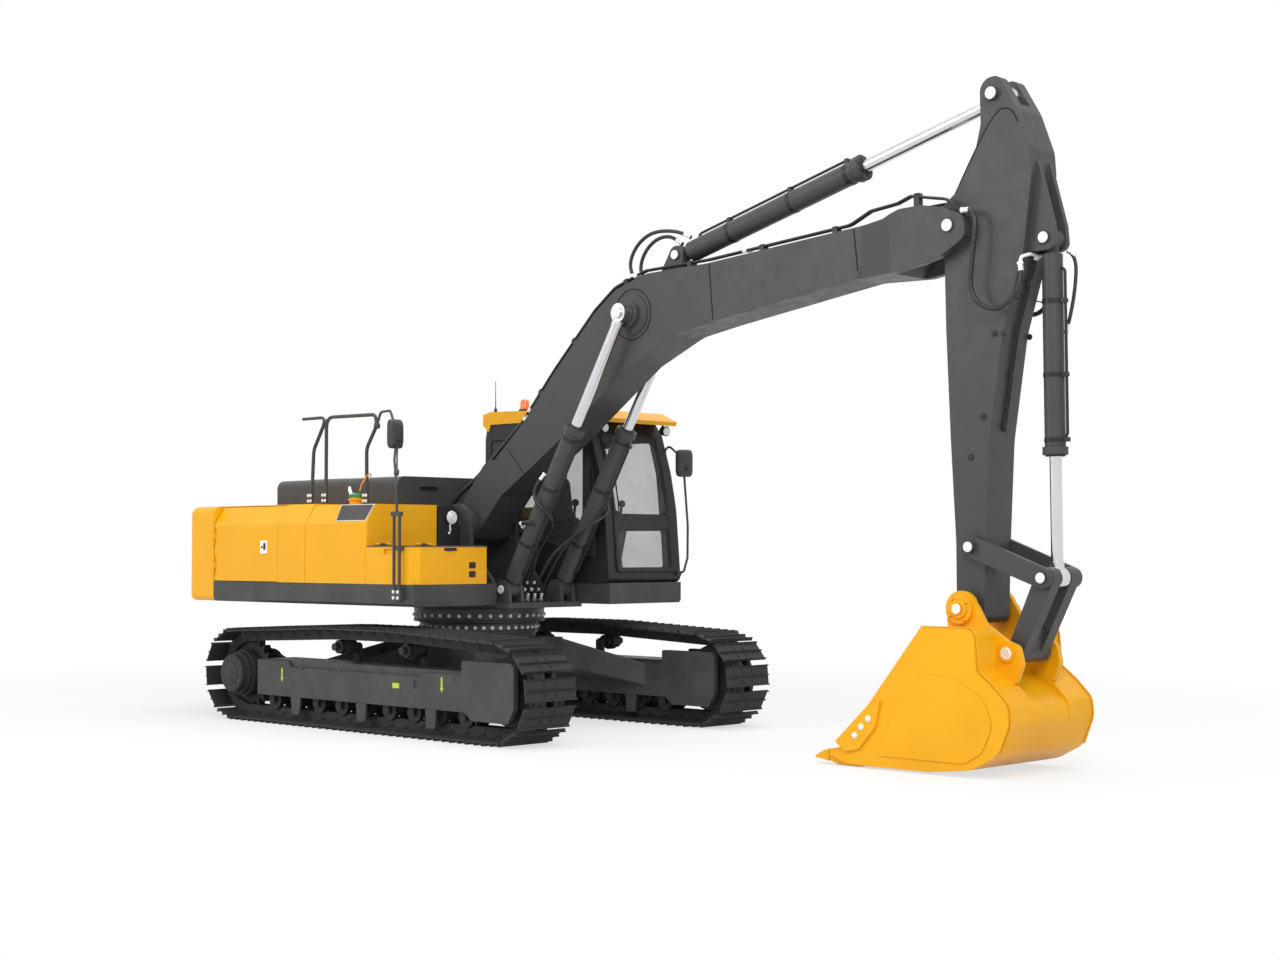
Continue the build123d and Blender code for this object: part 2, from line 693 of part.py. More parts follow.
def toolbox():
    """Hollow tool box ahead of the tank; returns the box and its lid."""
    y0, y1 = -HALF_WIDTH, -SIDE_INNER_Y
    top = TOOLBOX_Z1 - TREAD_T
    outer = block(TANK_X1 + 1, TOOLBOX_X1, y0, y1, DECK_Z1 + 0.3, top)
    corner = outer.edges().filter_by(Axis.Z).filter_by(lambda e: e.center().X > 500 and e.center().Y < -1400)
    outer = chamfer(corner, 70)
    wall = TOOLBOX_WALL + 15
    inner = block(TANK_X1 + 1 + wall, TOOLBOX_X1 - wall - 60, y0 + wall + 60, y1 - wall, DECK_Z1 + 20, top + 20)
    box = outer - inner
    handle = Pos(430, y0, top - 45) * Box(150, 40, 50)
    box -= handle
    lid = block(LID_AXIS_X + 2, TOOLBOX_X1 + 4, y0 - 4, y1, top + SEAT, TOOLBOX_Z1)
    edge = lid.edges().filter_by(Axis.Z).filter_by(lambda e: e.center().X > 500 and e.center().Y < -1400)
    lid = chamfer(edge, 70)
    hinges = []
    for y in (-1300, -800):
        moving, fixed, bore = pin_hinge(Pos(LID_AXIS_X, y, LID_AXIS_Z) * Rot(90, 0, 0), 30)
        lid += moving + block(LID_AXIS_X, LID_AXIS_X + 30, y - 30, y + 30, TOOLBOX_Z1 - 1, LID_AXIS_Z) - bore
        for s in (-1, 1):
            low = y + s * (60 + SEAM) - 30
            fixed += block(TANK_X1 - 1, LID_AXIS_X, low, low + 60, LID_AXIS_Z - 8, LID_AXIS_Z + 8)
        hinges.append(fixed)
    return box, lid, hinges


def hood_hinges():
    """Two hinges along the hood's rear edge: what the hood carries, and what the deck cover carries."""
    x, z = HOOD_X0 - HINGE_OUT, HOUSING_Z1 + SEAT + KNUCKLE_R
    leaves, covers = [], []
    for y in (-450, 250):
        moving, fixed, bore = pin_hinge(Pos(x, y, z) * Rot(90, 0, 0), 30)
        leaves.append(moving + block(x, HOOD_X0 + 1, y - 30, y + 30, z, z + KNUCKLE_R) - bore)
        for s in (-1, 1):
            low = y + s * (60 + SEAM) - 30
            fixed += block(x - 8, x + 8, low, low + 60, HOUSING_Z1 - 1, z)
        covers.append(fixed)
    return leaves, covers


def hood():
    """Rounded engine hood, a hollow cover hinged along its rear edge."""
    z0 = HOUSING_Z1 + SEAT
    section = rounded(
        [(HOOD_Y0, z0), (HOOD_Y0, HOOD_Z1), (HOOD_Y1, HOOD_Z1), (HOOD_Y1, z0)],
        [1, 90, 90, 1],
    )
    shell = slab_x(section, HOOD_X0, HOOD_X1)
    inner = rounded(
        [
            (HOOD_Y0 + HOOD_WALL, HOUSING_Z1 - 50),
            (HOOD_Y0 + HOOD_WALL, HOOD_Z1 - HOOD_WALL),
            (HOOD_Y1 - HOOD_WALL, HOOD_Z1 - HOOD_WALL),
            (HOOD_Y1 - HOOD_WALL, HOUSING_Z1 - 50),
        ],
        [1, 82, 82, 1],
    )
    shell -= slab_x(inner, HOOD_X0 + HOOD_WALL, HOOD_X1 - HOOD_WALL)
    for knuckle in hood_hinges()[0]:
        shell += knuckle
    return shell


def deck_cover():
    """Fixed top plates round the hood opening, joining both side housings."""
    z0, z1 = HOUSING_Z1 - 30, HOUSING_Z1
    y0, y1 = -SIDE_INNER_Y + SEAT, LEFT_INNER_Y - SEAT
    plate = block(TAIL_X + SEAM, HOOD_X1 + 20, y0, y1, z0, z1)
    plate -= block(HOOD_X0 + 120, HOOD_X1 - 120, y0 + 60, y1 - 60, z0 - 5, z1 + 5)
    plate += block(HOOD_X1 - 20, HOOD_X1 + 20, y0, y1, 1640, z0 + 1)
    for hinge in hood_hinges()[1]:
        plate += hinge
    return plate


def engine_block():
    """The engine as one plain block on the frame beams."""
    return block(-2050, -1050, -BEAM_Y - 20, BEAM_Y + 60, BEAM_Z1 + SEAT, 2120)


# Cab


def cab_outline(inset=0.0, z_bottom=None):
    """Side view of the cab, drawn in by an inset."""
    i = inset
    points = [
        (CAB_X0 + i, CAB_Z0 + i),
        (CAB_FRONT_X - i, CAB_Z0 + i),
        (1311 - i, 2120),
        (1236 - i, 2490),
        (1110 - i, 2880),
        (1010 - i, CAB_Z1 - i),
        (CAB_X0 + 30 + i, CAB_Z1 - i),
        (CAB_X0 + i, 2860 - i),
    ]
    return rounded(points, [30, 60, 900, 900, 60, 60, 60, 60])


ENTRY_X0 = 60.0
DOOR_TOP = 2905.0
FRONT_WIN = (590.0, 1370.0, 1510.0, 2850.0)


def door_outline(inset=0.0):
    """Side view of the cab door."""
    i = inset
    return rounded(
        [
            (ENTRY_X0 + i, CAB_Z0 + 30 + i),
            (1240 - i, CAB_Z0 + 30 + i),
            (1205 - i, 2120),
            (1140 - i, 2480),
            (1030 - i, DOOR_TOP - i),
            (ENTRY_X0 + i, DOOR_TOP - i),
        ],
        [60, 90, 700, 700, 90, 60],
    )


def side_windows():
    """Outlines of the fixed side windows: right front, right rear and left rear."""
    right = rounded([(60, 1900), (1180, 1640), (1150, 2480), (1040, 2850), (60, 2850)], 50)
    right_rear = rounded([(-360, 2020), (0, 2020), (0, 2850), (-360, 2850)], 50)
    left_rear = rounded([(-360, 1960), (0, 1960), (0, 2850), (-360, 2850)], 50)
    return right, right_rear, left_rear


def cab():
    """Hollow cab frame; returns frame, fixed panes, door frame and door pane."""
    outer = slab_y(cab_outline(), CAB_Y0, CAB_Y1)
    inner = slab_y(cab_outline(CAB_WALL), CAB_Y0 + CAB_WALL, CAB_Y1 - CAB_WALL)
    skin = outer - slab_y(cab_outline(GLASS_T), CAB_Y0 + GLASS_T, CAB_Y1 - GLASS_T)
    right, right_rear, left_rear = side_windows()
    y0, y1, z0, z1 = FRONT_WIN
    holes = [
        block(900, 1600, y0, y1, z0, z1),
        slab_y(right, CAB_Y0 - 10, CAB_Y0 + 90),
        slab_y(right_rear, CAB_Y0 - 10, CAB_Y0 + 90),
        slab_y(left_rear, CAB_Y1 - 90, CAB_Y1 + 10),
        block(CAB_X0 - 50, CAB_X0 + 120, CAB_Y0 + 130, CAB_Y1 - 130, 2050, 2780),
    ]
    g = GLASS_GAP
    panes = [
        skin & block(900, 1600, y0 + g, y1 - g, z0 + g, z1 - g),
        skin & slab_y(offset(right, -g), CAB_Y0 - 1, CAB_Y0 + 50),
        skin & slab_y(offset(right_rear, -g), CAB_Y0 - 1, CAB_Y0 + 50),
        skin & slab_y(offset(left_rear, -g), CAB_Y1 - 50, CAB_Y1 + 1),
        skin & block(CAB_X0 - 1, CAB_X0 + 50, CAB_Y0 + 130 + g, CAB_Y1 - 130 - g, 2050 + g, 2780 - g),
    ]
    frame = outer - inner - slab_y(door_outline(), CAB_Y1 - DOOR_T - DOOR_GAP, CAB_Y1 + 10)
    frame -= slab_y(door_outline(60), CAB_Y1 - 200, CAB_Y1 + 10)
    for hole in holes:
        frame -= hole
    leaf = slab_y(door_outline(DOOR_GAP), CAB_Y1 - DOOR_T, CAB_Y1)
    window = slab_y(door_window(), CAB_Y1 - 100, CAB_Y1 + 10)
    lower = slab_y(door_lower_window(), CAB_Y1 - 100, CAB_Y1 + 10)
    leaf = leaf - window - lower
    for z in (1620, 2160, 2700):
        moving, fixed, bore = pin_hinge(Pos(ENTRY_X0 + 3, CAB_Y1 + HINGE_OUT, z), 30)
        leaf += moving + block(ENTRY_X0 + 3, ENTRY_X0 + 33, CAB_Y1 - 1, CAB_Y1 + HINGE_OUT, z - 30, z + 30) - bore
        for s in (-1, 1):
            low = z + s * (60 + SEAM) - 30
            fixed += block(ENTRY_X0 - 27, ENTRY_X0 + 3, CAB_Y1 - 1, CAB_Y1 + HINGE_OUT, low, low + 60)
            fixed -= block(ENTRY_X0, ENTRY_X0 + 40, CAB_Y1 - 5, CAB_Y1 + 0.3, low, low + 60)
        frame += fixed
    door_panes = [
        slab_y(offset(door_window(), -g), CAB_Y1 - 20, CAB_Y1 - 20 + GLASS_T),
        slab_y(offset(door_lower_window(), -g), CAB_Y1 - 20, CAB_Y1 - 20 + GLASS_T),
    ]
    return frame, panes, leaf, door_panes


def door_window():
    """Upper window of the cab door."""
    return rounded([(150, 2010), (1120, 2010), (1070, 2480), (980, 2820), (150, 2820)], 50)


def door_lower_window():
    """Lower window of the cab door."""
    return rounded([(420, 1520), (1165, 1520), (1135, 1920), (420, 1920)], 50)


def cab_roof():
    """Yellow roof cover with its overhanging visor."""
    side = rounded(
        [
            (CAB_X0 - 25, CAB_Z1 + 1),
            (CAB_X0 + 60, 2935),
            (CAB_X0 + 90, CAB_Z1 + 0.4),
            (1000, CAB_Z1 + 0.4),
            (1290, CAB_Z1 - 40),
            (1310, CAB_Z1),
            (1100, 3105),
            (CAB_X0 + 100, 3145),
            (CAB_X0 - 25, 3120),
        ],
        [4, 4, 1, 30, 6, 8, 60, 60, 20],
    )
    roof = slab_y(side, CAB_Y0 - 15, CAB_Y1 + 12)
    roof -= block(CAB_X0 - 100, CAB_X0 + 200, CAB_Y0 - 0.4, CAB_Y1 + 0.4, 2800, CAB_Z1 + 0.3)
    roof -= block(900, 1150, CAB_Y0 - 0.4, CAB_Y1 + 0.4, 2800, CAB_Z1 + 0.3) & slab_y(
        cab_outline(-0.4), CAB_Y0 - 1, CAB_Y1 + 1
    )
    return roof


def seat():
    """Operator's seat: base, cushion, back and headrest."""
    y0, y1 = 720, 1220
    base = block(180, 560, 780, 1160, CAB_Z0 + CAB_WALL + 0.3, 1740)
    cushion = block(130, 640, y0, y1, 1740.3, 1860)
    back = slab_y(rounded([(30, 1860.3), (175, 1860.3), (90, 2480), (-30, 2480)], [1, 1, 30, 30]), y0, y1)
    head = slab_y(rounded([(-40, 2495), (80, 2495), (60, 2680), (-50, 2680)], 30), 840, 1100)
    neck = block(0, 30, 900, 920, 2450, 2520) + block(0, 30, 1020, 1040, 2450, 2520)
    return base, cushion + back + head + neck


def console():
    """Side consoles with their levers, and the travel levers and pedals."""
    z0 = CAB_Z0 + CAB_WALL + 0.3
    solids = []
    for y in (640, 1300):
        body = slab_y(rounded([(150, z0), (620, z0), (760, 1990), (700, 2040), (150, 1960)], 20), y - 55, y + 55)
        lever = bar((690, y, 2000), (720, y, 2170), 14) + Pos(722, y, 2190) * Sphere(38)
        solids.append(body + lever)
    pedals = block(900, 1130, 820, 1140, z0, z0 + 40)
    for y in (930, 1030):
        pedals += bar((1000, y, z0 + 20), (900, y, 2020), 12) + Pos(897, y, 2035) * Sphere(26)
    solids.append(pedals)
    return solids


# Working equipment


def direction(p, q):
    """Unit vector from p to q in the X-Z plane, and the distance."""
    length = hypot(q[0] - p[0], q[1] - p[1])
    return ((q[0] - p[0]) / length, (q[1] - p[1]) / length), length


def cylinder_pair(foot, eye, y, sizes, barrel_l, rod_l, foot_bore=PIN_R + PIN_FIT):
    """Barrel and rod of a hydraulic cylinder, set between its two pins."""
    barrel_r, rod_r, eye_r, eye_half = sizes
    axis, length = direction(foot, eye)
    at = Plane(origin=(foot[0], y, foot[1]), x_dir=(0, 1, 0), z_dir=(axis[0], 0, axis[1]))
    low = (Align.CENTER, Align.CENTER, Align.MIN)
    bore_r = barrel_r - BARREL_WALL

    def post(z0, z1, radius):
        return at * Pos(0, 0, z0) * Cylinder(radius, z1 - z0, align=low)

    barrel = disc_y(foot, eye_r, y - eye_half, y + eye_half) + post(eye_r * 0.3, NECK_L + 1, eye_half - 1)
    barrel += post(NECK_L, barrel_l, barrel_r)
    barrel += post(barrel_l - GLAND_L, barrel_l, barrel_r + GLAND_OVER)
    barrel -= post(NECK_L + BARREL_WALL, barrel_l - GLAND_L, bore_r)
    barrel -= post(barrel_l - GLAND_L - 1, barrel_l + 1, rod_r + ROD_FIT)
    barrel -= disc_y(foot, foot_bore, y - eye_half - 1, y + eye_half + 1)
    start = length - rod_l
    rod = post(start, length, rod_r) + post(start, start + PISTON_L, bore_r - ROD_FIT)
    rod += disc_y(eye, eye_r, y - eye_half, y + eye_half)
    rod += post(length - eye_r - 45, length - eye_r * 0.6, rod_r + 6)
    return barrel, rod


def boom_profile():
    """Side view of the boom's box."""
    top = [(130, 2330), (880, 2960), (1310, 3412), (1858, 3931), (2120, 4115), (2500, 4228), (3266, 4245), (5050, 4380)]
    bottom = [(4953, 3950), (3341, 3725), (2876, 3649), (2336, 3416), (1272, 2691), (939, 2484), (458, 2190), (200, 2040)]
    return rounded(top + bottom, [60, 200, 400, 300, 300, 400, 600, 1, 1, 600, 500, 400, 500, 300, 100, 60])


def boom():
    """Box boom with its foot hub, cylinder bosses, lug and forked tip."""
    box = slab_y(boom_profile(), -BOOM_HALF_W, BOOM_HALF_W)
    foot = strap(BOOM_FOOT, 190, (420, 2400), 200)
    box += slab_y(foot, -BOOM_HALF_W, BOOM_HALF_W)
    box += disc_y(BOOM_FOOT, 165, -FOOT_HALF_W, FOOT_HALF_W)
    tip = rounded(
        [
            (4860, 4362),
            (5250, 4395),
            (5420, 4450),
            (5640, 4455),
            (5840, 4415),
            (6040, 4330),
            (6060, 4160),
            (5830, 4030),
            (5650, 3985),
            (5380, 3945),
            (4860, 3942),
        ],
        [1, 60, 60, 60, 90, 90, 90, 90, 60, 60, 1],
    )
    fork = slab_y(tip, -FORK_HALF_W, FORK_HALF_W)
    taper = poly((4800, 195), (4960, 195), (5330, FORK_HALF_W), (6200, FORK_HALF_W), (6200, 500), (4800, 500))
    fork -= slab_z(taper, 3700, 4700) + mirrored(slab_z(taper, 3700, 4700))
    box += fork
    slot = poly((5500, 4700), (5530, 4190), (5200, 3800), (6300, 3800), (6300, 4700))
    box -= slab_y(slot, -ARM_HALF_W - 31, ARM_HALF_W + 31)
    lug = strap(ARM_CYL_FOOT, 85, (2735, 4190), 130)
    for side in (-1, 1):
        lo, hi = sorted((side * (ARM_CYL[3] + SIDE_GAP), side * (ARM_CYL[3] + SIDE_GAP + 35)))
        box += slab_y(lug, lo, hi)
        lo, hi = sorted((side * (BOOM_HALF_W - 1), side * (BOOM_CYL_Y - BOOM_CYL[3] - SIDE_GAP)))
        box += disc_y(BOOM_CYL_EYE, 125, lo, hi)
        lo, hi = sorted((side * (ARM_HALF_W + 40), side * (FORK_HALF_W + CAP_T)))
        box += disc_y(BOOM_TIP, CAP_R, lo, hi)
    box += disc_y(ARM_CYL_FOOT, PIN_R, -115, 115)
    box += disc_y(BOOM_TIP, PIN_R, -FORK_HALF_W, FORK_HALF_W)
    box -= disc_y(BOOM_FOOT, PIN_R + 8 + PIN_FIT, -FOOT_HALF_W - 1, FOOT_HALF_W + 1)
    return box


def arm_profile():
    """Side view of the arm."""
    return rounded(
        [
            (6130, 5395),
            (6300, 5400),
            (6469, 5113),
            (6585, 4800),
            (6600, 4620),
            (6522, 4022),
            (6330, 3400),
            (6200, 2570),
            (6160, 1790),
            (6140, 1150),
            (5890, 1140),
            (5885, 1790),
            (5840, 2580),
            (5802, 3450),
            (5790, 4060),
            (5700, 4170),
            (5700, 4380),
            (5915, 4545),
            (6091, 4852),
            (6138, 5040),
        ],
        [110, 60, 300, 200, 200, 600, 900, 900, 600, 60, 100, 900, 900, 600, 60, 90, 90, 60, 200, 200],
    )


def arm():
    """Box arm with the cylinder ears at its top, the bucket cylinder's lug and both end bores."""
    body = slab_y(arm_profile(), -ARM_HALF_W, ARM_HALF_W)
    body += disc_y(BOOM_TIP, 180, -ARM_HALF_W - 25, ARM_HALF_W + 25)
    slot = strap(ARM_CYL_EYE, 205, (5900, 5400), 260) + strap(ARM_CYL_EYE, 205, (5990, 4930), 150)
    body -= slab_y(slot, -ARM_CYL[3] - SIDE_GAP, ARM_CYL[3] + SIDE_GAP)
    lug = rounded([(6500, 4700), (6610, 4700), (6745, 4200), (6760, 4040), (6700, 4005), (6480, 4005)], [10, 30, 60, 60, 60, 10])
    for side in (-1, 1):
        lo, hi = sorted((side * (BUCKET_CYL[3] + SIDE_GAP), side * (BUCKET_CYL[3] + SIDE_GAP + 45)))
        body += slab_y(lug, lo, hi)
        lo, hi = sorted((side * (ARM_CYL[3] + SIDE_GAP), side * (ARM_HALF_W + CAP_T + 20)))
        body += disc_y(ARM_CYL_EYE, CAP_R, lo, hi)
        lo, hi = sorted((side * (ARM_HALF_W - 1), side * (ARM_HALF_W + 95)))
        body += disc_y(ROCKER_PIN, PIN_R, lo, hi)
    body += disc_y(BUCKET_CYL_FOOT, PIN_R, -125, 125)
    body -= disc_y(BOOM_TIP, PIN_R + PIN_FIT, -300, 300)
    body -= disc_y(BUCKET_PIN, PIN_R + PIN_FIT, -300, 300)
    return body


ROCKER_IN = ARM_HALF_W + 12.0
ROCKER_T = 38.0
LINK_IN = BUCKET_CYL[3] + SIDE_GAP + 8.0
LINK_OUT = ROCKER_IN - 4.0
LINK_HUB_R = 76.0


def rocker():
    """The two guide links from the arm to the bucket cylinder's rod, with their stub pins."""
    solids = []
    face = strap(ROCKER_PIN, 85, LINK_PIN, 80)
    for side in (-1, 1):
        lo, hi = sorted((side * ROCKER_IN, side * (ROCKER_IN + ROCKER_T)))
        plate = slab_y(face, lo, hi) - disc_y(ROCKER_PIN, PIN_R + PIN_FIT, lo - 1, hi + 1)
        lo, hi = sorted((side * LINK_IN, side * (ROCKER_IN + ROCKER_T + CAP_T)))
        solids.append(plate + disc_y(LINK_PIN, PIN_R, lo, hi))
    return solids


def bucket_link():
    """Forked link from the rocker pin to the bucket, its legs joined by the lower hub."""
    body = disc_y(BUCKET_LINK_PIN, LINK_HUB_R, -205, 205)
    axis, length = direction(LINK_PIN, BUCKET_LINK_PIN)
    web_top = (LINK_PIN[0] + axis[0] * (length - 190), LINK_PIN[1] + axis[1] * (length - 190))
    body += slab_y(strap(web_top, 30, BUCKET_LINK_PIN, 60), -120, 120)
    for side in (-1, 1):
        lo, hi = sorted((side * LINK_IN, side * LINK_OUT))
        body += slab_y(strap(LINK_PIN, 82, BUCKET_LINK_PIN, LINK_HUB_R - 8), lo, hi)
        body -= disc_y(LINK_PIN, PIN_R + PIN_FIT, lo - 10, hi + 10)
    return body


def bucket_shell_points(inset):
    """Outline of the bucket's wrapped shell in X and Z."""
    return inset


def bucket():
    """Wrapped shell between two side plates, with the ears that carry it."""
    outline = rounded(BUCKET_SIDE, BUCKET_SIDE_R)
    inner = rounded(BUCKET_HOLLOW, BUCKET_HOLLOW_R)
    whole = slab_y(outline, -BUCKET_HALF_W, BUCKET_HALF_W)
    whole -= slab_y(inner, -BUCKET_HALF_W + BUCKET_SIDE_T, BUCKET_HALF_W - BUCKET_SIDE_T)
    ear = strap(BUCKET_PIN, 125, BUCKET_LINK_PIN, 105) + rounded(
        [(5900, 1170), (6080, 1290), (6500, 1010), (6590, 800), (6560, 560), (6100, 930)], [20, 60, 100, 100, 60, 20]
    )
    for side in (-1, 1):
        lo, hi = sorted((side * (EAR_Y - EAR_T / 2), side * (EAR_Y + EAR_T / 2)))
        whole += slab_y(ear, lo, hi)
        lo, hi = sorted((side * (EAR_Y - EAR_T / 2), side * (EAR_Y + EAR_T / 2 + 45)))
        whole += disc_y(BUCKET_PIN, 118, lo, hi)
        lo, hi = sorted((side * (EAR_Y - 2), side * (EAR_Y + EAR_T / 2 + 55)))
        whole += disc_y(BUCKET_PIN, PIN_R, lo, hi)
        lo, hi = sorted((side * (EAR_Y - EAR_T / 2), side * (EAR_Y + EAR_T / 2 + CAP_T)))
        whole += disc_y(BUCKET_LINK_PIN, CAP_R, lo, hi)
    whole += disc_y(BUCKET_PIN, PIN_R, -EAR_Y, EAR_Y)
    return whole


BUCKET_SIDE = [
    (5850, 1080),
    (6110, 905),
    (6400, 690),
    (6635, 530),
    (6600, 200),
    (6380, 60),
    (5900, 20),
    (5120, 20),
    (4940, 90),
    (5030, 210),
    (5760, 1080),
]
BUCKET_SIDE_R = [20, 200, 260, 260, 220, 300, 300, 20, 10, 20, 20]
BUCKET_HOLLOW = [
    (5830, 1065),
    (6096, 883),
    (6380, 674),
    (6610, 516),
    (6578, 215),
    (6370, 83),
    (5900, 46),
    (5126, 46),
    (4700, 212),
    (5500, 1200),
]
BUCKET_HOLLOW_R = [1, 180, 240, 240, 200, 280, 280, 10, 1, 1]


def teeth():
    """Teeth along the lip, each a wedge on its shank."""
    solids = []
    step = 2 * (BUCKET_HALF_W - 70) / (TOOTH_COUNT - 1)
    for i in range(TOOTH_COUNT):
        y = -(BUCKET_HALF_W - 70) + i * step
        side = poly((5080, 8), (4780, 48), (4775, 62), (4925, 118), (4941, 89.5), (5118, 19.5))
        solids.append(slab_y(side, y - 42, y + 42))
    return solids


def working_equipment():
    """Boom, arm, bucket and everything that moves them."""
    save("boom", boom())
    save("arm", arm())
    save("bucket", bucket())
    save("bucket_teeth", *teeth())
    save("rocker", *rocker())
    save("bucket_link", bucket_link())
    barrel, rod = cylinder_pair(BOOM_CYL_FOOT, BOOM_CYL_EYE, -BOOM_CYL_Y, BOOM_CYL, BOOM_BARREL_L, BOOM_ROD_L)
    rod += disc_y(BOOM_CYL_EYE, CAP_R, -BOOM_CYL_Y - BOOM_CYL[3] - 25, -BOOM_CYL_Y)
    save("boom_cylinder_right", barrel)
    save("boom_rod_right", rod)
    save("boom_cylinder_left", mirrored(barrel))
    save("boom_rod_left", mirrored(rod))
    barrel, rod = cylinder_pair(ARM_CYL_FOOT, ARM_CYL_EYE, 0, ARM_CYL, ARM_BARREL_L, ARM_ROD_L)
    save("arm_cylinder", barrel)
    save("arm_rod", rod)
    barrel, rod = cylinder_pair(BUCKET_CYL_FOOT, LINK_PIN, 0, BUCKET_CYL, BUCKET_BARREL_L, BUCKET_ROD_L)
    save("bucket_cylinder", barrel)
    save("bucket_rod", rod)


def upper_structure():
    """Everything that swings, apart from the working equipment."""
    lower, upper = slew_rings()
    save("slew_ring_lower", lower)
    save("slew_ring_upper", upper)
    save("main_frame", main_frame())
    save("deck_right", side_deck(-1))
    save("deck_left", side_deck(1))
    save("counterweight", counterweight())
    save("engine_block", engine_block())
    save("pump_housing", right_housing())
    save("pump_door", side_door(-1, DOOR_X0, DOOR_X1))
    save("cooler_housing", left_housing())
    save("cooler_door", side_door(1, DOOR_X0, DOOR_X1 + 100))
    box, lid, hinges = toolbox()
    tank = fuel_tank()
    for hinge in hinges:
        tank += hinge
    save("fuel_tank", tank)
    save("fuel_cap", fuel_cap())
    save("toolbox", box)
    save("toolbox_lid", lid)
    save("hood", hood())
    save("deck_cover", deck_cover())
    frame, panes, leaf, door_panes = cab()
    save("cab_frame", frame)
    save("cab_glass", *panes)
    save("cab_door", leaf)
    save("cab_door_glass", *door_panes)
    save("cab_roof", cab_roof())
    base, cushion = seat()
    save("seat_base", base)
    save("seat", cushion)
    save("consoles", *console())


os.makedirs("parts", exist_ok=True)
undercarriage()
upper_structure()
working_equipment()
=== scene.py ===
"""Crawler excavator: finishes, fittings and studio stage, in the CAD model's own frame."""

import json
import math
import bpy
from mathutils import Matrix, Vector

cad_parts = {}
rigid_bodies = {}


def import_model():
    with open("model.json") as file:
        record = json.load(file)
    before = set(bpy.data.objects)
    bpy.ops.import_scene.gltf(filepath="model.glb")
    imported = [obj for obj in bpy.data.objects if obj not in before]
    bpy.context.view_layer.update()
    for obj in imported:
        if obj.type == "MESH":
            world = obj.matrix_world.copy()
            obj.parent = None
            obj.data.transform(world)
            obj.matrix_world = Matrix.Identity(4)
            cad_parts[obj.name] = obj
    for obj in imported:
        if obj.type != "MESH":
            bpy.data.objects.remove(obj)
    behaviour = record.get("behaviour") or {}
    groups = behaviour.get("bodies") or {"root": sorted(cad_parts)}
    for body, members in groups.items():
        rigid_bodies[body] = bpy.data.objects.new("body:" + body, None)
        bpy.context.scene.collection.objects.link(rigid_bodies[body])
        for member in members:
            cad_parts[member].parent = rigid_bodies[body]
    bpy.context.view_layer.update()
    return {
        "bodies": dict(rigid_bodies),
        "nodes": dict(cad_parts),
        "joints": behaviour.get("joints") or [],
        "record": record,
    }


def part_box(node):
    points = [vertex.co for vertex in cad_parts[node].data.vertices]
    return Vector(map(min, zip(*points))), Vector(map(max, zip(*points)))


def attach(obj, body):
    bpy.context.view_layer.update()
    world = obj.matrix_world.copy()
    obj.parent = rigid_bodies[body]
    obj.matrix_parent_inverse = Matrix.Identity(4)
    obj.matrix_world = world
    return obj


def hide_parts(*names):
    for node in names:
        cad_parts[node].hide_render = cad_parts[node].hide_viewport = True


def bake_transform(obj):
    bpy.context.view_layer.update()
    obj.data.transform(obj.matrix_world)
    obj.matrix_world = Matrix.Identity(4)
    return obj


bl_info = {
    "name": "Crawler Excavator Dressing",
    "version": (1, 0, 0),
    "blender": (4, 5, 0),
    "location": "View3D > Sidebar > Excavator",
    "description": "Finishes, fittings and studio stage for a crawler excavator",
    "category": "Object",
}

import bpy
import numpy as np
from mathutils import Matrix

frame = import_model()
NODES = frame["nodes"]

# Which finish each solid of the CAD model takes.
FINISHES = {
    "panel_yellow": [
        "pump_housing", "cooler_housing", "pump_door", "cooler_door", "counterweight", "fuel_tank",
        "toolbox", "cab_roof",
    ],
    "bucket_yellow": ["bucket", "bucket_teeth"],
    "boom_grey": [
        "boom", "arm", "arm_cylinder", "boom_cylinder_left", "boom_cylinder_right",
        "bucket_cylinder", "rocker", "bucket_link",
    ],
    "hood_grey": ["hood"],
    "frame_grey": ["deck_left", "deck_right", "main_frame", "carbody", "track_frame_left", "track_frame_right"],
    "tread_plate": ["toolbox_lid", "deck_cover"],
    "cab_dark": ["cab_frame", "cab_door", "consoles"],
    "track_steel": ["track_left", "track_right", "rollers_left", "rollers_right", "idler_left",
                    "idler_right", "final_drive_left", "final_drive_right"],
    "rod_chrome": ["arm_rod", "bucket_rod", "boom_rod_left", "boom_rod_right"],
    "bare_steel": ["slew_ring_lower", "slew_ring_upper"],
    "window_glass": ["cab_glass", "cab_door_glass"],
    "seat_cloth": ["seat"],
    "black_plastic": ["seat_base"],
    "cap_green": ["fuel_cap"],
    "engine_black": ["engine_block"],
}

# Planes that trim stands on, each 0.3 mm off its solid so that no two faces coincide
PANEL_SIDE = 1.4903
TOOLBOX_FRONT = 0.8063
BOOM_SIDE = 0.2003
ARM_SIDE = 0.1753
TRACK_SIDE = 1.5003
PANEL_TOP = 2.1703
HOOD_TOP = 2.4503
# Outer face of the 6 mm latch plates
PLATE_SIDE = 1.4963

# Pins of the working equipment in the X-Z plane
BOOM_FOOT = (0.030, 1.980)
BOOM_TIP = (5.898, 4.262)
BOOM_CYL_FOOT = (0.830, 1.337)
BOOM_CYL_EYE = (2.350, 3.870)
ARM_CYL_FOOT = (2.800, 4.380)
ARM_CYL_EYE = (6.255, 5.262)
BUCKET_CYL_FOOT = (6.664, 4.100)
ROCKER_PIN = (6.060, 1.740)
LINK_PIN = (6.690, 1.505)
BUCKET_LINK_PIN = (6.420, 0.930)
BUCKET_PIN = (6.000, 1.260)

RIGHT = (0, -1, 0)
LEFT = (0, 1, 0)
UP = (0, 0, 1)
FRONT = (1, 0, 0)


# Meshes worked out with numpy

def turned_quarter():
    """A quarter turn about Z."""
    frame = np.eye(4)
    frame[:2, :2] = ((0, -1), (1, 0))
    return frame


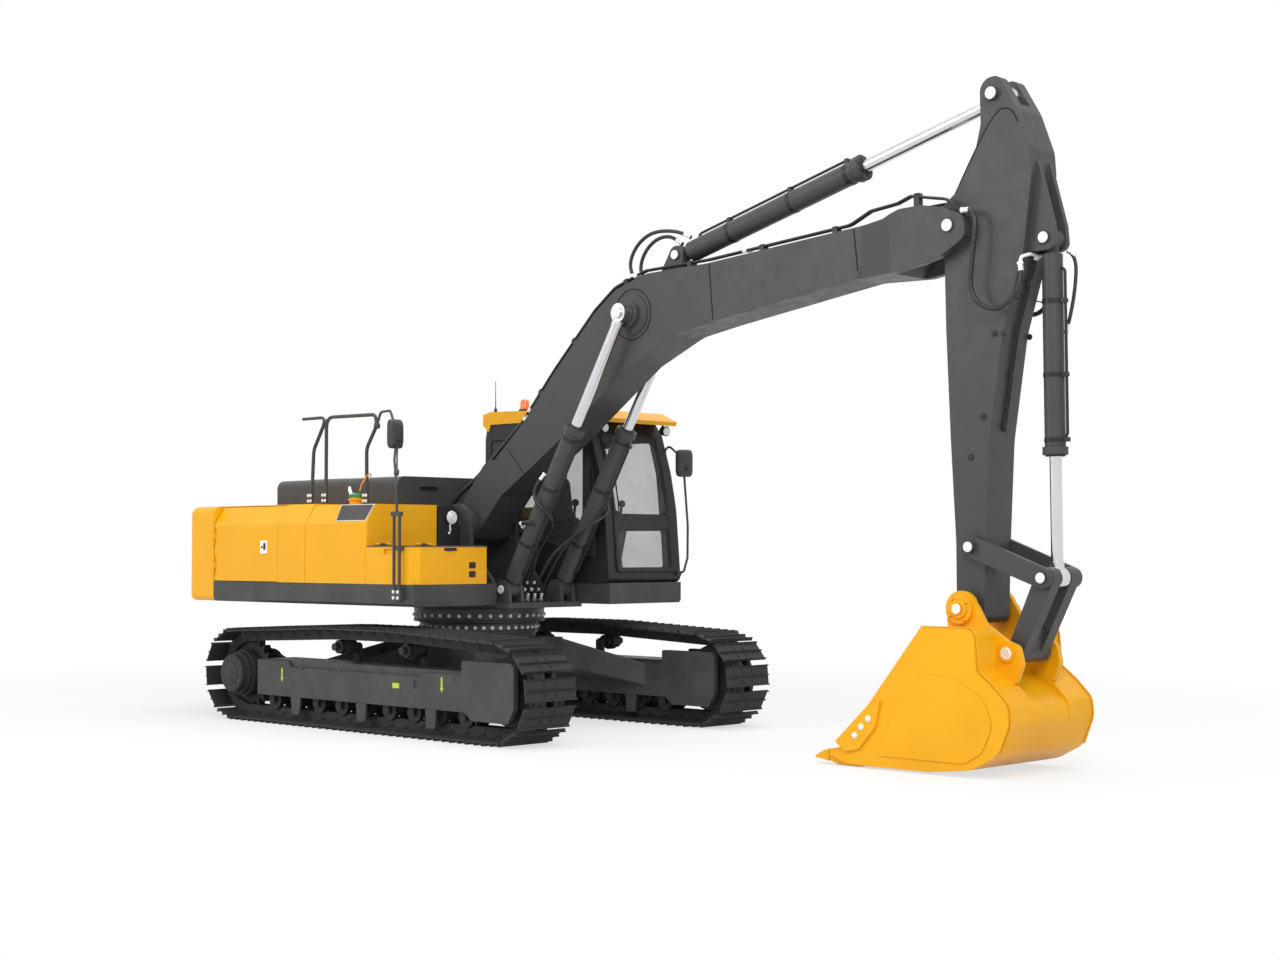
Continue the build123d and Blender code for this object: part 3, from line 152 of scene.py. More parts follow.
def standing_left_to_right(x):
    """A frame facing forward whose X runs to the machine's right, for outlines given in -y and z."""
    frame = np.zeros((4, 4))
    frame[1, 0], frame[2, 1], frame[0, 2], frame[0, 3], frame[3, 3] = -1, 1, -1, x + 0.030, 1
    return frame


def offset_frame(x, y, z):
    """A frame moved without a turn."""
    frame = np.eye(4)
    frame[:3, 3] = (x, y, z)
    return frame


CHAIN_LINKS = 48
SPROCKET_RADIUS = 0.366
WHEEL_HEIGHT = 0.464
HALF_WHEELBASE = 2.015
TRACK_CENTRE = 1.295
RAIL_FACE = 0.0843
PLATE_TOP = 0.0723
CARRIER_LINE = 0.115


def chain_line():
    """Points along the line of the chain's pins: tangents and arcs round the wheels and the two carriers."""
    carrier = WHEEL_HEIGHT + SPROCKET_RADIUS + 0.065 - 0.045 - 0.004 - 0.066
    circles = [((-HALF_WHEELBASE, WHEEL_HEIGHT), SPROCKET_RADIUS), ((HALF_WHEELBASE, WHEEL_HEIGHT), SPROCKET_RADIUS),
               ((0.560, carrier), CARRIER_LINE), ((-0.470, carrier), CARRIER_LINE)]
    normals = []
    for (c0, r0), (c1, r1) in zip(circles, circles[1:] + circles[:1]):
        gap = math.hypot(c1[0] - c0[0], c1[1] - c0[1])
        normals.append(math.atan2(c1[1] - c0[1], c1[0] - c0[0]) - math.pi / 2 + math.asin((r0 - r1) / gap))
    parts = []
    for i, normal in enumerate(normals):
        centre, radius = circles[(i + 1) % 4]
        sweep = (normals[(i + 1) % 4] - normal) % (2 * math.pi)
        angle = np.linspace(normal, normal + sweep, 400)
        parts.append(np.stack([centre[0] + radius * np.cos(angle), centre[1] + radius * np.sin(angle)], -1))
    first = circles[0][0] + SPROCKET_RADIUS * np.array([math.cos(normals[0]), math.sin(normals[0])])
    return np.concatenate([[first], *parts])


def chain_links(count):
    """Each link's middle, heading and outward direction, from pins set at even steps along the chain's line."""
    line = chain_line()
    steps = np.r_[0, np.cumsum(np.linalg.norm(np.diff(line, axis=0), axis=1))]
    at = np.linspace(0, steps[-1], count, endpoint=False)
    pins = np.stack([np.interp(at, steps, line[:, 0]), np.interp(at, steps, line[:, 1])], -1)
    ahead = np.roll(pins, -1, 0)
    middle, run = (pins + ahead) / 2, ahead - pins
    run = run / np.linalg.norm(run, axis=1, keepdims=True)
    flat = np.zeros(count)
    return list(zip(np.c_[middle[:, 0], flat, middle[:, 1]], np.c_[run[:, 0], flat, run[:, 1]],
                    np.c_[run[:, 1], flat, -run[:, 0]]))


CHAIN_PITCH = float(np.linalg.norm(np.diff(chain_line(), axis=0), axis=1).sum()) / CHAIN_LINKS


def new_piece(name, shape, body, material, smooth=35.0):
    """A mesh object from a closed shape, smooth up to an angle, riding on a body with one finish."""
    mesh = bpy.data.meshes.new(name)
    mesh.from_pydata(np.asarray(shape[0], float).tolist(), [], shape[1])
    mesh.materials.append(finish(material))
    mesh.validate()
    mesh.shade_smooth()
    mesh.set_sharp_from_angle(angle=math.radians(smooth))
    piece = bpy.data.objects.new(name, mesh)
    bpy.context.scene.collection.objects.link(piece)
    if body:
        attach(piece, body)
    return piece


def grid_faces(rows, columns, start=0, wrap=True):
    """Quads of a rows by columns grid of points whose columns close on themselves."""
    i, j = np.meshgrid(np.arange(rows - 1), np.arange(columns if wrap else columns - 1), indexing="ij")
    k = (j + 1) % columns
    quads = np.stack([i * columns + j, i * columns + k, (i + 1) * columns + k, (i + 1) * columns + j], -1)
    return (quads.reshape(-1, 4) + start).tolist()


def unit(vector):
    """The vector at length one."""
    vector = np.asarray(vector, float)
    return vector / np.linalg.norm(vector)


def standing(place, axis, turn=0.0):
    """A 4x4 frame at a place whose Z runs along an axis and whose Y leans as far up as it can."""
    z = unit(axis)
    x = unit(np.cross(UP if abs(z[2]) < 0.99 else FRONT, z))
    y = np.cross(z, x)
    frame = np.eye(4)
    frame[:3, 0] = math.cos(turn) * x + math.sin(turn) * y
    frame[:3, 1] = math.cos(turn) * y - math.sin(turn) * x
    frame[:3, 2] = z
    frame[:3, 3] = place
    return frame


def placed(shape, *frames):
    """Copies of a closed shape: each frame times all its points at once."""
    points, faces = shape
    flat = np.c_[points, np.ones(len(points))]
    moved = np.einsum("kij,nj->kni", np.array(frames), flat)[..., :3].reshape(-1, 3)
    count = len(points)
    return moved, [tuple(i + k * count for i in face) for k in range(len(frames)) for face in faces]


def together(*shapes):
    """Several closed shapes as one."""
    points, faces, count = [], [], 0
    for shape in shapes:
        points.append(shape[0])
        faces += [tuple(i + count for i in face) for face in shape[1]]
        count += len(shape[0])
    return np.concatenate(points), faces


def both(shape):
    """The shape and its mirror image across the machine's middle plane, faces turned back out."""
    points, faces = shape
    return together(shape, (points * (1, -1, 1), [face[::-1] for face in faces]))


def closed_rings(rings):
    """A closed skin over an (m, n, 3) stack of rings, with a flat face on each end."""
    rows, columns, _ = rings.shape
    faces = [tuple(face) for face in grid_faces(rows, columns)]
    last = (rows - 1) * columns
    faces += [tuple(range(columns - 1, -1, -1)), tuple(range(last, last + columns))]
    return rings.reshape(-1, 3), faces


def lathe(profile, segments=24, start=0.0):
    """Turned shape: height and radius rows carried round Z, x = r cos t, y = r sin t."""
    height, radius = np.asarray(profile, float).T
    turn = np.linspace(0, 2 * np.pi, segments, endpoint=False) + start
    rings = np.stack(
        [radius[:, None] * np.cos(turn), radius[:, None] * np.sin(turn), np.repeat(height[:, None], segments, 1)], -1)
    return closed_rings(rings)


def inset(outline, distance):
    """An outline moved inwards: each corner along the mitre of its two edge normals."""
    edge = np.roll(outline, -1, 0) - outline
    edge = edge / np.linalg.norm(edge, axis=1, keepdims=True)
    normal = np.stack([-edge[:, 1], edge[:, 0]], -1)
    before = np.roll(normal, 1, 0)
    mitre = normal + before
    mitre = mitre / np.maximum((mitre * normal).sum(1, keepdims=True), 0.3)
    return outline + distance * mitre


def plate(outline, depth, chamfer=0.0):
    """Flat plate: a counter-clockwise outline raised along Z, its top edge broken by a chamfer."""
    outline = np.asarray(outline, float)
    levels = [(outline, 0.0), (outline, depth - chamfer)]
    if chamfer > 0:
        levels.append((inset(outline, chamfer), depth))
    rings = np.stack([np.c_[ring, np.full(len(ring), height)] for ring, height in levels])
    return closed_rings(rings)


def soft_rectangle(width, height, power=6.0, count=32, centre=(0, 0)):
    """Superellipse outline: x = w/2 |cos t|^(2/p), y = h/2 |sin t|^(2/p), with their signs."""
    turn = np.linspace(0, 2 * np.pi, count, endpoint=False)
    c, s = np.cos(turn), np.sin(turn)
    x = width / 2 * np.sign(c) * np.abs(c) ** (2 / power)
    y = height / 2 * np.sign(s) * np.abs(s) ** (2 / power)
    return np.stack([x + centre[0], y + centre[1]], -1)


def along(path, radius, segments=12):
    """A round tube: circles across the tangents of a path, turned about the normal of its mean plane."""
    path = np.asarray(path, float)
    tangent = np.gradient(path, axis=0)
    tangent = tangent / np.linalg.norm(tangent, axis=1, keepdims=True)
    flat = np.linalg.svd(path - path.mean(0))[2][2]
    side = np.cross(tangent, flat)
    side = side / np.linalg.norm(side, axis=1, keepdims=True)
    third = np.cross(tangent, side)
    turn = np.linspace(0, 2 * np.pi, segments, endpoint=False)
    radius = np.broadcast_to(radius, len(path))[:, None, None]
    rings = path[:, None] + radius * (
        np.cos(turn)[None, :, None] * side[:, None] + np.sin(turn)[None, :, None] * third[:, None])
    return closed_rings(rings)


def strip(path, width, depth):
    """A flat line on a plate: the path moved half a width to each side, raised along Z."""
    path = np.asarray(path, float)
    tangent = np.gradient(path, axis=0)
    tangent = tangent / np.linalg.norm(tangent, axis=1, keepdims=True)
    normal = np.stack([-tangent[:, 1], tangent[:, 0]], -1) * width / 2
    return plate(np.concatenate([path - normal, (path + normal)[::-1]]), depth)


def rounded_line(points, radii, closed=True, steps=6):
    """A line whose corners are parabolas: B(t) = (1-t)^2 a + 2t(1-t) p + t^2 b, from a to b on the runs beside p."""
    points = np.asarray(points, float)
    radii = np.broadcast_to(np.asarray(radii, float), len(points)).copy()
    back, ahead = np.roll(points, 1, 0) - points, np.roll(points, -1, 0) - points
    back_length, ahead_length = np.linalg.norm(back, axis=1), np.linalg.norm(ahead, axis=1)
    back, ahead = back / back_length[:, None], ahead / ahead_length[:, None]
    half = np.arccos(np.clip((back * ahead).sum(1), -0.9999, 0.9999)) / 2
    reach = np.minimum(radii / np.tan(half), 0.49 * np.minimum(back_length, ahead_length))
    if not closed:
        reach[[0, -1]] = 0
    t = np.linspace(0, 1, steps)[None, :, None]
    a, b = points + back * reach[:, None], points + ahead * reach[:, None]
    arcs = (1 - t) ** 2 * a[:, None] + 2 * t * (1 - t) * points[:, None] + t**2 * b[:, None]
    flat = arcs.reshape(-1, points.shape[1])
    keep = np.r_[True, np.linalg.norm(np.diff(flat, axis=0), axis=1) > 1e-6]
    if closed:
        keep[-1] &= np.linalg.norm(flat[-1] - flat[0]) > 1e-6
    return flat[keep]


def outline(points, radii):
    """A rounded outline given in millimetres, in metres and counter-clockwise."""
    line = rounded_line(np.asarray(points, float) / 1000, np.asarray(radii, float) / 1000)
    x, z = line.T
    area = (x * np.roll(z, -1) - np.roll(x, -1) * z).sum()
    return line if area > 0 else line[::-1]


def slab(line, low, high, chamfer=0.0):
    """An upright plate: an X-Z outline carried from y = low to y = high."""
    return placed(plate(line, high - low, chamfer), standing((0, high, 0), RIGHT))


def disc(pin, radius, low, high, chamfer=0.0, segments=40):
    """A turned disc across the machine, about a pin's axis."""
    rows = [(0, radius), (high - low - chamfer, radius)]
    if chamfer > 0:
        rows.append((high - low, radius - chamfer))
    return placed(lathe(rows, segments), standing((pin[0], high, pin[1]), RIGHT))


def brick(x0, x1, y0, y1, z0, z1, chamfer=0.0):
    """An upright block between two corners, its top edges broken."""
    line = [(x0, y0), (x1, y0), (x1, y1), (x0, y1)]
    points, faces = plate(line, z1 - z0, chamfer)
    return points + (0, 0, z0), faces


def rod(start, end, radius, segments=14):
    """A straight round bar between two points."""
    start, end = np.asarray(start, float), np.asarray(end, float)
    return placed(lathe([(0, radius), (np.linalg.norm(end - start), radius)], segments), standing(start, end - start))


def bent(points, radii, radius, segments=14):
    """A bent tube: a rounded run of straights carried by a circle."""
    return along(rounded_line(points, radii, closed=False, steps=7), radius, segments)


def hoop(inner, outer, low, high, segments=40):
    """A flat ring round Z: a rectangle between two radii and two heights, turned once round."""
    turn = np.linspace(0, 2 * np.pi, segments + 1)
    section = np.array([(inner, low), (outer, low), (outer, high), (inner, high)])
    rings = np.stack([np.cos(turn)[:, None] * section[:, 0], np.sin(turn)[:, None] * section[:, 0],
                      np.repeat(section[None, :, 1], len(turn), 0)], -1)[:, ::-1]
    points, faces = closed_rings(rings)
    count = segments * 4
    return points[:count], (np.array(faces[:count]) % count).tolist()


def spline(points, count=40):
    """A smooth line through a route's points: cubics whose slopes are the chords of the points beside."""
    points = np.asarray(points, float)
    ends = np.concatenate([points[:1] * 2 - points[1:2], points, points[-1:] * 2 - points[-2:-1]])
    u = np.linspace(0, len(points) - 1, count)
    i = np.minimum(u.astype(int), len(points) - 2)
    t = (u - i)[:, None]
    p0, p1, p2, p3 = ends[i], ends[i + 1], ends[i + 2], ends[i + 3]
    return 0.5 * (2 * p1 + (p2 - p0) * t + (2 * p0 - 5 * p1 + 4 * p2 - p3) * t**2 + (3 * p1 - p0 - 3 * p2 + p3) * t**3)


def bolt(radius, height):
    """Six-sided head on its washer."""
    washer = lathe([(0, radius * 1.35), (height * 0.25, radius * 1.35)], 12)
    head = lathe([(height * 0.25, radius), (height * 0.85, radius), (height, radius * 0.82)], 6)
    return together(washer, head)


def fitting(length, radius):
    """Hose end: a hexagon nut, a collar and the crimped sleeve behind it."""
    nut = lathe([(0, radius * 1.5), (length * 0.28, radius * 1.5)], 6)
    collar = lathe([(length * 0.28, radius * 1.15), (length * 0.42, radius * 1.15)], 14)
    sleeve = lathe(
        [(length * 0.42, radius * 1.28), (length * 0.62, radius * 1.32), (length * 0.64, radius * 1.2),
         (length * 0.82, radius * 1.2), (length * 0.84, radius * 1.32), (length, radius * 1.28)], 14)
    return together(nut, collar, sleeve)


def pin_cap(radius, height):
    """Domed end of a pin with a turned groove and a lubrication nipple."""
    r, h = radius, height
    cap = lathe([(0, r), (h * 0.7, r), (h, r * 0.86), (h, r * 0.55), (h * 0.8, r * 0.5), (h * 0.8, r * 0.2)], 32)
    return together(cap, lathe([(h * 0.75, r * 0.14), (h * 1.05, r * 0.14), (h * 1.15, r * 0.08)], 10))


# Finishes

def node_material(name):
    """An empty node material with its output and a Principled shader joined."""
    material = bpy.data.materials.new(name)
    material.use_nodes = True
    tree = material.node_tree
    tree.nodes.clear()
    output = tree.nodes.new("ShaderNodeOutputMaterial")
    shader = tree.nodes.new("ShaderNodeBsdfPrincipled")
    tree.links.new(shader.outputs[0], output.inputs[0])
    return material, tree, shader


def set_inputs(node, **values):
    """Sets sockets by name, with underscores for spaces."""
    for key, value in values.items():
        node.inputs[key.replace("_", " ")].default_value = value


def noise(tree, scale, detail=3.0, rough=0.5):
    """A noise texture on Object coordinates."""
    place = tree.nodes.new("ShaderNodeTexCoord")
    node = tree.nodes.new("ShaderNodeTexNoise")
    set_inputs(node, Scale=scale, Detail=detail, Roughness=rough)
    tree.links.new(place.outputs["Object"], node.inputs["Vector"])
    return node.outputs["Fac"]


def ramp(tree, value, low, high, start=0.0, end=1.0):
    """Maps a value from start..end to a colour between low and high."""
    node = tree.nodes.new("ShaderNodeValToRGB")
    node.color_ramp.elements[0].position = start
    node.color_ramp.elements[1].position = end
    node.color_ramp.elements[0].color = (*low, 1)
    node.color_ramp.elements[1].color = (*high, 1)
    tree.links.new(value, node.inputs[0])
    return node.outputs[0]


def grey(value):
    return (value, value, value)


def scaled(colour, factor):
    return tuple(min(1.0, c * factor) for c in colour[:3])


def rounded_bump(tree, shader, height, strength, distance, edge=0.0):
    """Bump from a height value over normals that are rounded at the edges by a few millimetres."""
    bump = tree.nodes.new("ShaderNodeBump")
    set_inputs(bump, Strength=strength, Distance=distance)
    tree.links.new(height, bump.inputs["Height"])
    if edge > 0:
        soft = tree.nodes.new("ShaderNodeBevel")
        soft.samples = 4
        soft.inputs["Radius"].default_value = edge
        tree.links.new(soft.outputs[0], bump.inputs["Normal"])
    tree.links.new(bump.outputs[0], shader.inputs["Normal"])


def worn_and_highlight_edges(tree, radius, start=0.02, end=0.10):
    """Share of brightened edge, partly worn bare and partly painted highlight: one minus the dot product of the true
    and the rounded normal, broken up by noise.
    """
    soft = tree.nodes.new("ShaderNodeBevel")
    soft.samples = 6
    soft.inputs["Radius"].default_value = radius
    true = tree.nodes.new("ShaderNodeNewGeometry")
    dot = tree.nodes.new("ShaderNodeVectorMath")
    dot.operation = "DOT_PRODUCT"
    tree.links.new(soft.outputs[0], dot.inputs[0])
    tree.links.new(true.outputs["Normal"], dot.inputs[1])
    turned = tree.nodes.new("ShaderNodeMath")
    turned.operation = "SUBTRACT"
    turned.inputs[0].default_value = 1.0
    tree.links.new(dot.outputs["Value"], turned.inputs[1])
    share = ramp(tree, turned.outputs[0], grey(0), grey(1), start, end)
    broken = ramp(tree, noise(tree, 14, 5, 0.7), grey(0.0), grey(1.0), 0.38, 0.62)
    product = tree.nodes.new("ShaderNodeMath")
    product.operation = "MULTIPLY"
    tree.links.new(share, product.inputs[0])
    tree.links.new(broken, product.inputs[1])
    return product.outputs[0]


def blended(tree, share, first, second):
    """Mixes two colours, sockets or plain tuples, by a share."""
    mix = tree.nodes.new("ShaderNodeMix")
    mix.data_type = "RGBA"
    tree.links.new(share, mix.inputs["Factor"])
    for socket, colour in ((mix.inputs[6], first), (mix.inputs[7], second)):
        if isinstance(colour, tuple):
            socket.default_value = (*colour, 1)
        else:
            tree.links.new(colour, socket)
    return mix.outputs[2]


def painted(name, colour, rough, coat, edge=0.005, orange_peel=0.05, drift=0.05, wear_and_highlight=None, dust=0.0):
    """Sprayed enamel: slow tone drift, orange peel in the gloss, rounded edges, and, if asked, dust and brightened
    edges that are partly wear and partly painted highlight.
    """
    material, tree, shader = node_material(name)
    tone = ramp(tree, noise(tree, 1.6, 4), scaled(colour, 1 - drift), scaled(colour, 1 + drift), 0.3, 0.7)
    if dust > 0:
        film = ramp(tree, noise(tree, 3.5, 6, 0.65), grey(0), grey(dust), 0.42, 0.75)
        tone = blended(tree, film, tone, (0.30, 0.27, 0.23))
    if wear_and_highlight:
        tone = blended(tree, worn_and_highlight_edges(tree, 0.012), tone, wear_and_highlight)
    tree.links.new(tone, shader.inputs["Base Color"])
    gloss = ramp(tree, noise(tree, 9.0, 5, 0.6), grey(rough * 0.85), grey(rough * 1.15), 0.35, 0.65)
    tree.links.new(gloss, shader.inputs["Roughness"])
    set_inputs(shader, Coat_Weight=coat * 0.25, Coat_Roughness=0.15, Specular_IOR_Level=0.26)
    rounded_bump(tree, shader, noise(tree, 140, 2), orange_peel * 0.4, 0.0008, edge)
    return material


def metal(name, colour, rough, streak=0.15, metallic=1.0, bump=0.04, scale=60, wear_and_highlight=None):
    """Bare or plated metal with fine turning marks in its gloss, and brighter edges that are partly wear and partly
    painted highlight.
    """
    material, tree, shader = node_material(name)
    tone = ramp(tree, noise(tree, 6, 4), scaled(colour, 1 - streak), scaled(colour, 1 + streak), 0.3, 0.7)
    if wear_and_highlight:
        tone = blended(tree, worn_and_highlight_edges(tree, 0.010, 0.01, 0.08), tone, wear_and_highlight)
    tree.links.new(tone, shader.inputs["Base Color"])
    gloss = ramp(tree, noise(tree, 30, 4), grey(rough * 0.8), grey(rough * 1.25), 0.3, 0.7)
    tree.links.new(gloss, shader.inputs["Roughness"])
    set_inputs(shader, Metallic=metallic)
    rounded_bump(tree, shader, noise(tree, scale, 3), bump, 0.001, 0.003)
    return material


def moulded(name, colour, rough, grain=0.12, scale=420, coat=0.0):
    """Moulded plastic or rubber with a fine grain."""
    material, tree, shader = node_material(name)
    tone = ramp(tree, noise(tree, 5, 3), scaled(colour, 0.85), scaled(colour, 1.15), 0.3, 0.7)
    tree.links.new(tone, shader.inputs["Base Color"])
    gloss = ramp(tree, noise(tree, 16, 4), grey(rough * 0.85), grey(min(1.0, rough * 1.2)), 0.3, 0.7)
    tree.links.new(gloss, shader.inputs["Roughness"])
    set_inputs(shader, Coat_Weight=coat)
    rounded_bump(tree, shader, noise(tree, scale, 3), grain, 0.0008, 0.003)
    return material


def lens(name, colour, rough, ribs=90.0):
    """Moulded lamp lens: clear coloured plastic with ribs pressed into its inside."""
    material, tree, shader = node_material(name)
    place = tree.nodes.new("ShaderNodeTexCoord")
    wave = tree.nodes.new("ShaderNodeTexWave")
    wave.bands_direction = "Z"
    set_inputs(wave, Scale=ribs, Distortion=0.0)
    tree.links.new(place.outputs["Object"], wave.inputs["Vector"])
    tone = ramp(tree, noise(tree, 9, 3), scaled(colour, 0.9), scaled(colour, 1.1), 0.3, 0.7)
    tree.links.new(tone, shader.inputs["Base Color"])
    gloss = ramp(tree, wave.outputs["Fac"], grey(rough), grey(rough * 1.6))
    tree.links.new(gloss, shader.inputs["Roughness"])
    set_inputs(shader, Coat_Weight=0.6, Coat_Roughness=0.04)
    rounded_bump(tree, shader, wave.outputs["Fac"], 0.4, 0.001, 0.002)
    return material


def tread(name, colour, rough):
    """Raised tread plate: lozenges along both diagonals, the larger of two products of crossed waves."""
    material, tree, shader = node_material(name)
    heights = []
    for turn in (45, -45):
        product = None
        for direction, scale in (("X", 22.0), ("Y", 9.0)):
            place = tree.nodes.new("ShaderNodeTexCoord")
            turned = tree.nodes.new("ShaderNodeMapping")
            turned.inputs["Rotation"].default_value = (0, 0, math.radians(turn))
            turned.inputs["Location"].default_value = (0.011 if turn > 0 else 0, 0, 0)
            wave = tree.nodes.new("ShaderNodeTexWave")
            wave.bands_direction = direction
            set_inputs(wave, Scale=scale, Distortion=0.0)
            tree.links.new(place.outputs["Object"], turned.inputs[0])
            tree.links.new(turned.outputs[0], wave.inputs["Vector"])
            if product is None:
                product = wave.outputs["Fac"]
            else:
                times = tree.nodes.new("ShaderNodeMath")
                times.operation = "MULTIPLY"
                tree.links.new(product, times.inputs[0])
                tree.links.new(wave.outputs["Fac"], times.inputs[1])
                product = times.outputs[0]
        heights.append(product)
    larger = tree.nodes.new("ShaderNodeMath")
    larger.operation = "MAXIMUM"
    tree.links.new(heights[0], larger.inputs[0])
    tree.links.new(heights[1], larger.inputs[1])
    raised = ramp(tree, larger.outputs[0], grey(0), grey(1), 0.45, 0.62)
    tone = blended(tree, raised, colour, scaled(colour, 1.7))
    tree.links.new(tone, shader.inputs["Base Color"])
    gloss = ramp(tree, noise(tree, 12, 4), grey(rough * 0.85), grey(rough * 1.15), 0.3, 0.7)
    tree.links.new(gloss, shader.inputs["Roughness"])
    rounded_bump(tree, shader, raised, 0.7, 0.002, 0.003)
    return material


def glass(name, tint, alpha):
    """Tinted cab glass: mostly clear, with a sharp gloss and a faint film whose thickness drifts with noise."""
    material, tree, shader = node_material(name)
    film = ramp(tree, noise(tree, 2.5, 5, 0.6), grey(alpha * 0.50), grey(alpha * 0.72), 0.3, 0.7)
    tree.links.new(film, shader.inputs["Alpha"])
    tone = ramp(tree, noise(tree, 1.2, 3), scaled(tint, 0.92), scaled(tint, 1.08), 0.3, 0.7)
    tree.links.new(tone, shader.inputs["Base Color"])
    gloss = ramp(tree, noise(tree, 8, 3), grey(0.02), grey(0.05), 0.3, 0.7)
    tree.links.new(gloss, shader.inputs["Roughness"])
    set_inputs(shader, IOR=1.5, Coat_Weight=0.2, Coat_Roughness=0.02)
    rounded_bump(tree, shader, noise(tree, 1.5, 1), 0.01, 0.001)
    return material


def cloth(name, colour):
    """Woven seat cloth: warp over weft as a fine checker in the bump, mottled yarn and sheen."""
    material, tree, shader = node_material(name)
    place = tree.nodes.new("ShaderNodeTexCoord")
    weave = tree.nodes.new("ShaderNodeTexChecker")
    set_inputs(weave, Scale=420.0)
    weave.inputs["Color1"].default_value = (*scaled(colour, 1.3), 1)
    weave.inputs["Color2"].default_value = (*scaled(colour, 0.7), 1)
    tree.links.new(place.outputs["Object"], weave.inputs["Vector"])
    mottle = ramp(tree, noise(tree, 60, 4), grey(0), grey(0.5), 0.35, 0.75)
    tree.links.new(blended(tree, mottle, weave.outputs["Color"], scaled(colour, 2.2)), shader.inputs["Base Color"])
    gloss = ramp(tree, noise(tree, 25, 3), grey(0.78), grey(0.92), 0.3, 0.7)
    tree.links.new(gloss, shader.inputs["Roughness"])
    set_inputs(shader, Sheen_Weight=0.4, Sheen_Roughness=0.5)
    rounded_bump(tree, shader, weave.outputs["Fac"], 0.2, 0.0006, 0.004)
    return material


RECIPES = {
    "panel_yellow": lambda name, paint: painted(name, paint.yellow, 0.36, 0.25, drift=0.03),
    "bucket_yellow": lambda name, paint: painted(name, paint.yellow, 0.42, 0.12, 0.006, drift=0.05),
    "boom_grey": lambda name, paint: painted(name, paint.grey, 0.44, 0.12, 0.006),
    "hood_grey": lambda name, paint: painted(name, paint.grey, 0.38, 0.2, 0.008),
    "frame_grey": lambda name, paint: painted(name, paint.frame, 0.47, 0.08, dust=0.12),
    "rail_grey": lambda name, paint: painted(name, paint.frame, 0.4, 0.15, 0.003),
    "pipe_grey": lambda name, paint: painted(name, paint.dark, 0.35, 0.2, 0.002),
    "cab_dark": lambda name, paint: painted(name, paint.dark, 0.4, 0.15),
    # Near-black paint of the seam lines, the handle recess and the louvres: painted shade in gaps, recesses and
    # openings.
    "painted_shade_black": lambda name, paint: painted(name, (0.006, 0.006, 0.007), 0.6, 0.0, 0.0),
    "engine_black": lambda name, paint: painted(name, (0.02, 0.02, 0.02), 0.5, 0.0, dust=0.2),
    "tread_plate": lambda name, paint: tread(name, tuple(paint.frame), 0.5),
    # Dark steel with light grey edges: worn steel, and partly a painted highlight along the shoe edges.
    "track_steel": lambda name, paint: metal(
        name, (0.040, 0.039, 0.040), 0.46, 0.25, 0.4, 0.25, 45, wear_and_highlight=(0.34, 0.33, 0.32)),
    "rod_chrome": lambda name, paint: metal(name, (0.66, 0.67, 0.69), 0.20, 0.03, bump=0.008),
    "bare_steel": lambda name, paint: metal(name, (0.070, 0.070, 0.073), 0.45, 0.2, 0.5),
    "bright_steel": lambda name, paint: metal(name, (0.80, 0.80, 0.80), 0.30, 0.05, 0.85),
    "zinc": lambda name, paint: metal(name, (0.86, 0.86, 0.85), 0.42, 0.06, 0.35),
    "pipe_burnt": lambda name, paint: metal(name, (0.10, 0.085, 0.075), 0.5, 0.4, 0.7),
    "window_glass": lambda name, paint: glass(name, (0.10, 0.12, 0.125), 0.34),
    "mirror_glass": lambda name, paint: metal(name, (0.85, 0.87, 0.88), 0.03, 0.02, 1.0, 0.0),
    "lamp_lens": lambda name, paint: lens(name, (0.78, 0.80, 0.80), 0.10),
    "beacon_amber": lambda name, paint: lens(name, (0.90, 0.16, 0.01), 0.16, 60),
    "seat_cloth": lambda name, paint: cloth(name, (0.03, 0.03, 0.033)),
    "piping": lambda name, paint: moulded(name, (0.09, 0.09, 0.095), 0.5),
    "belt_green": lambda name, paint: cloth(name, (0.28, 0.33, 0.02)),
    "black_plastic": lambda name, paint: moulded(name, (0.018, 0.018, 0.019), 0.5),
    "hose_rubber": lambda name, paint: moulded(name, (0.013, 0.013, 0.014), 0.45, 0.25, 260),
    "gasket": lambda name, paint: moulded(name, (0.010, 0.010, 0.011), 0.6),
    "cap_green": lambda name, paint: moulded(name, (0.02, 0.30, 0.07), 0.35, coat=0.3),
    "tag_orange": lambda name, paint: moulded(name, (0.75, 0.28, 0.02), 0.4),
    "mark_lime": lambda name, paint: moulded(name, (0.50, 0.62, 0.03), 0.45, 0.03),
    "screen": lambda name, paint: moulded(name, (0.01, 0.013, 0.016), 0.12, 0.02, 200, 0.6),
}


def finish(name):
    """The finish of that name, made the first time it is asked for."""
    return bpy.data.materials.get(name) or RECIPES[name](name, bpy.context.scene.exc_paint)


# Properties

class PaintSettings(bpy.types.PropertyGroup):
    """Colours of the paint, linear."""

    yellow: bpy.props.FloatVectorProperty(
        name="Panel yellow", description="Enamel of the body panels and the bucket",
        subtype="COLOR", min=0, max=1, default=(0.84, 0.40, 0.004))
    grey: bpy.props.FloatVectorProperty(
        name="Boom grey", description="Enamel of the boom, the arm and the cylinders",
        subtype="COLOR", min=0, max=1, default=(0.056, 0.057, 0.059))
    frame: bpy.props.FloatVectorProperty(
        name="Frame grey", description="Enamel of the decks, the carbody and the track frames",
        subtype="COLOR", min=0, max=1, default=(0.050, 0.051, 0.053))
    dark: bpy.props.FloatVectorProperty(
        name="Cab dark", description="Enamel of the cab's frame and rails",
        subtype="COLOR", min=0, max=1, default=(0.020, 0.021, 0.023))


class StageSettings(bpy.types.PropertyGroup):
    """Studio around the machine."""

    lens: bpy.props.FloatProperty(
        name="Lens", description="Focal length of the camera, in millimetres on a 36 mm sensor",
        min=10, max=200, default=54.21)
    key: bpy.props.FloatProperty(
        name="Key light", description="Power of the large light at the front right, in watts",
        min=0, max=20000, default=1350)
    sky: bpy.props.FloatProperty(
        name="Sky", description="Strength of the even light from all round", min=0, max=2, default=0.62)


# Operators

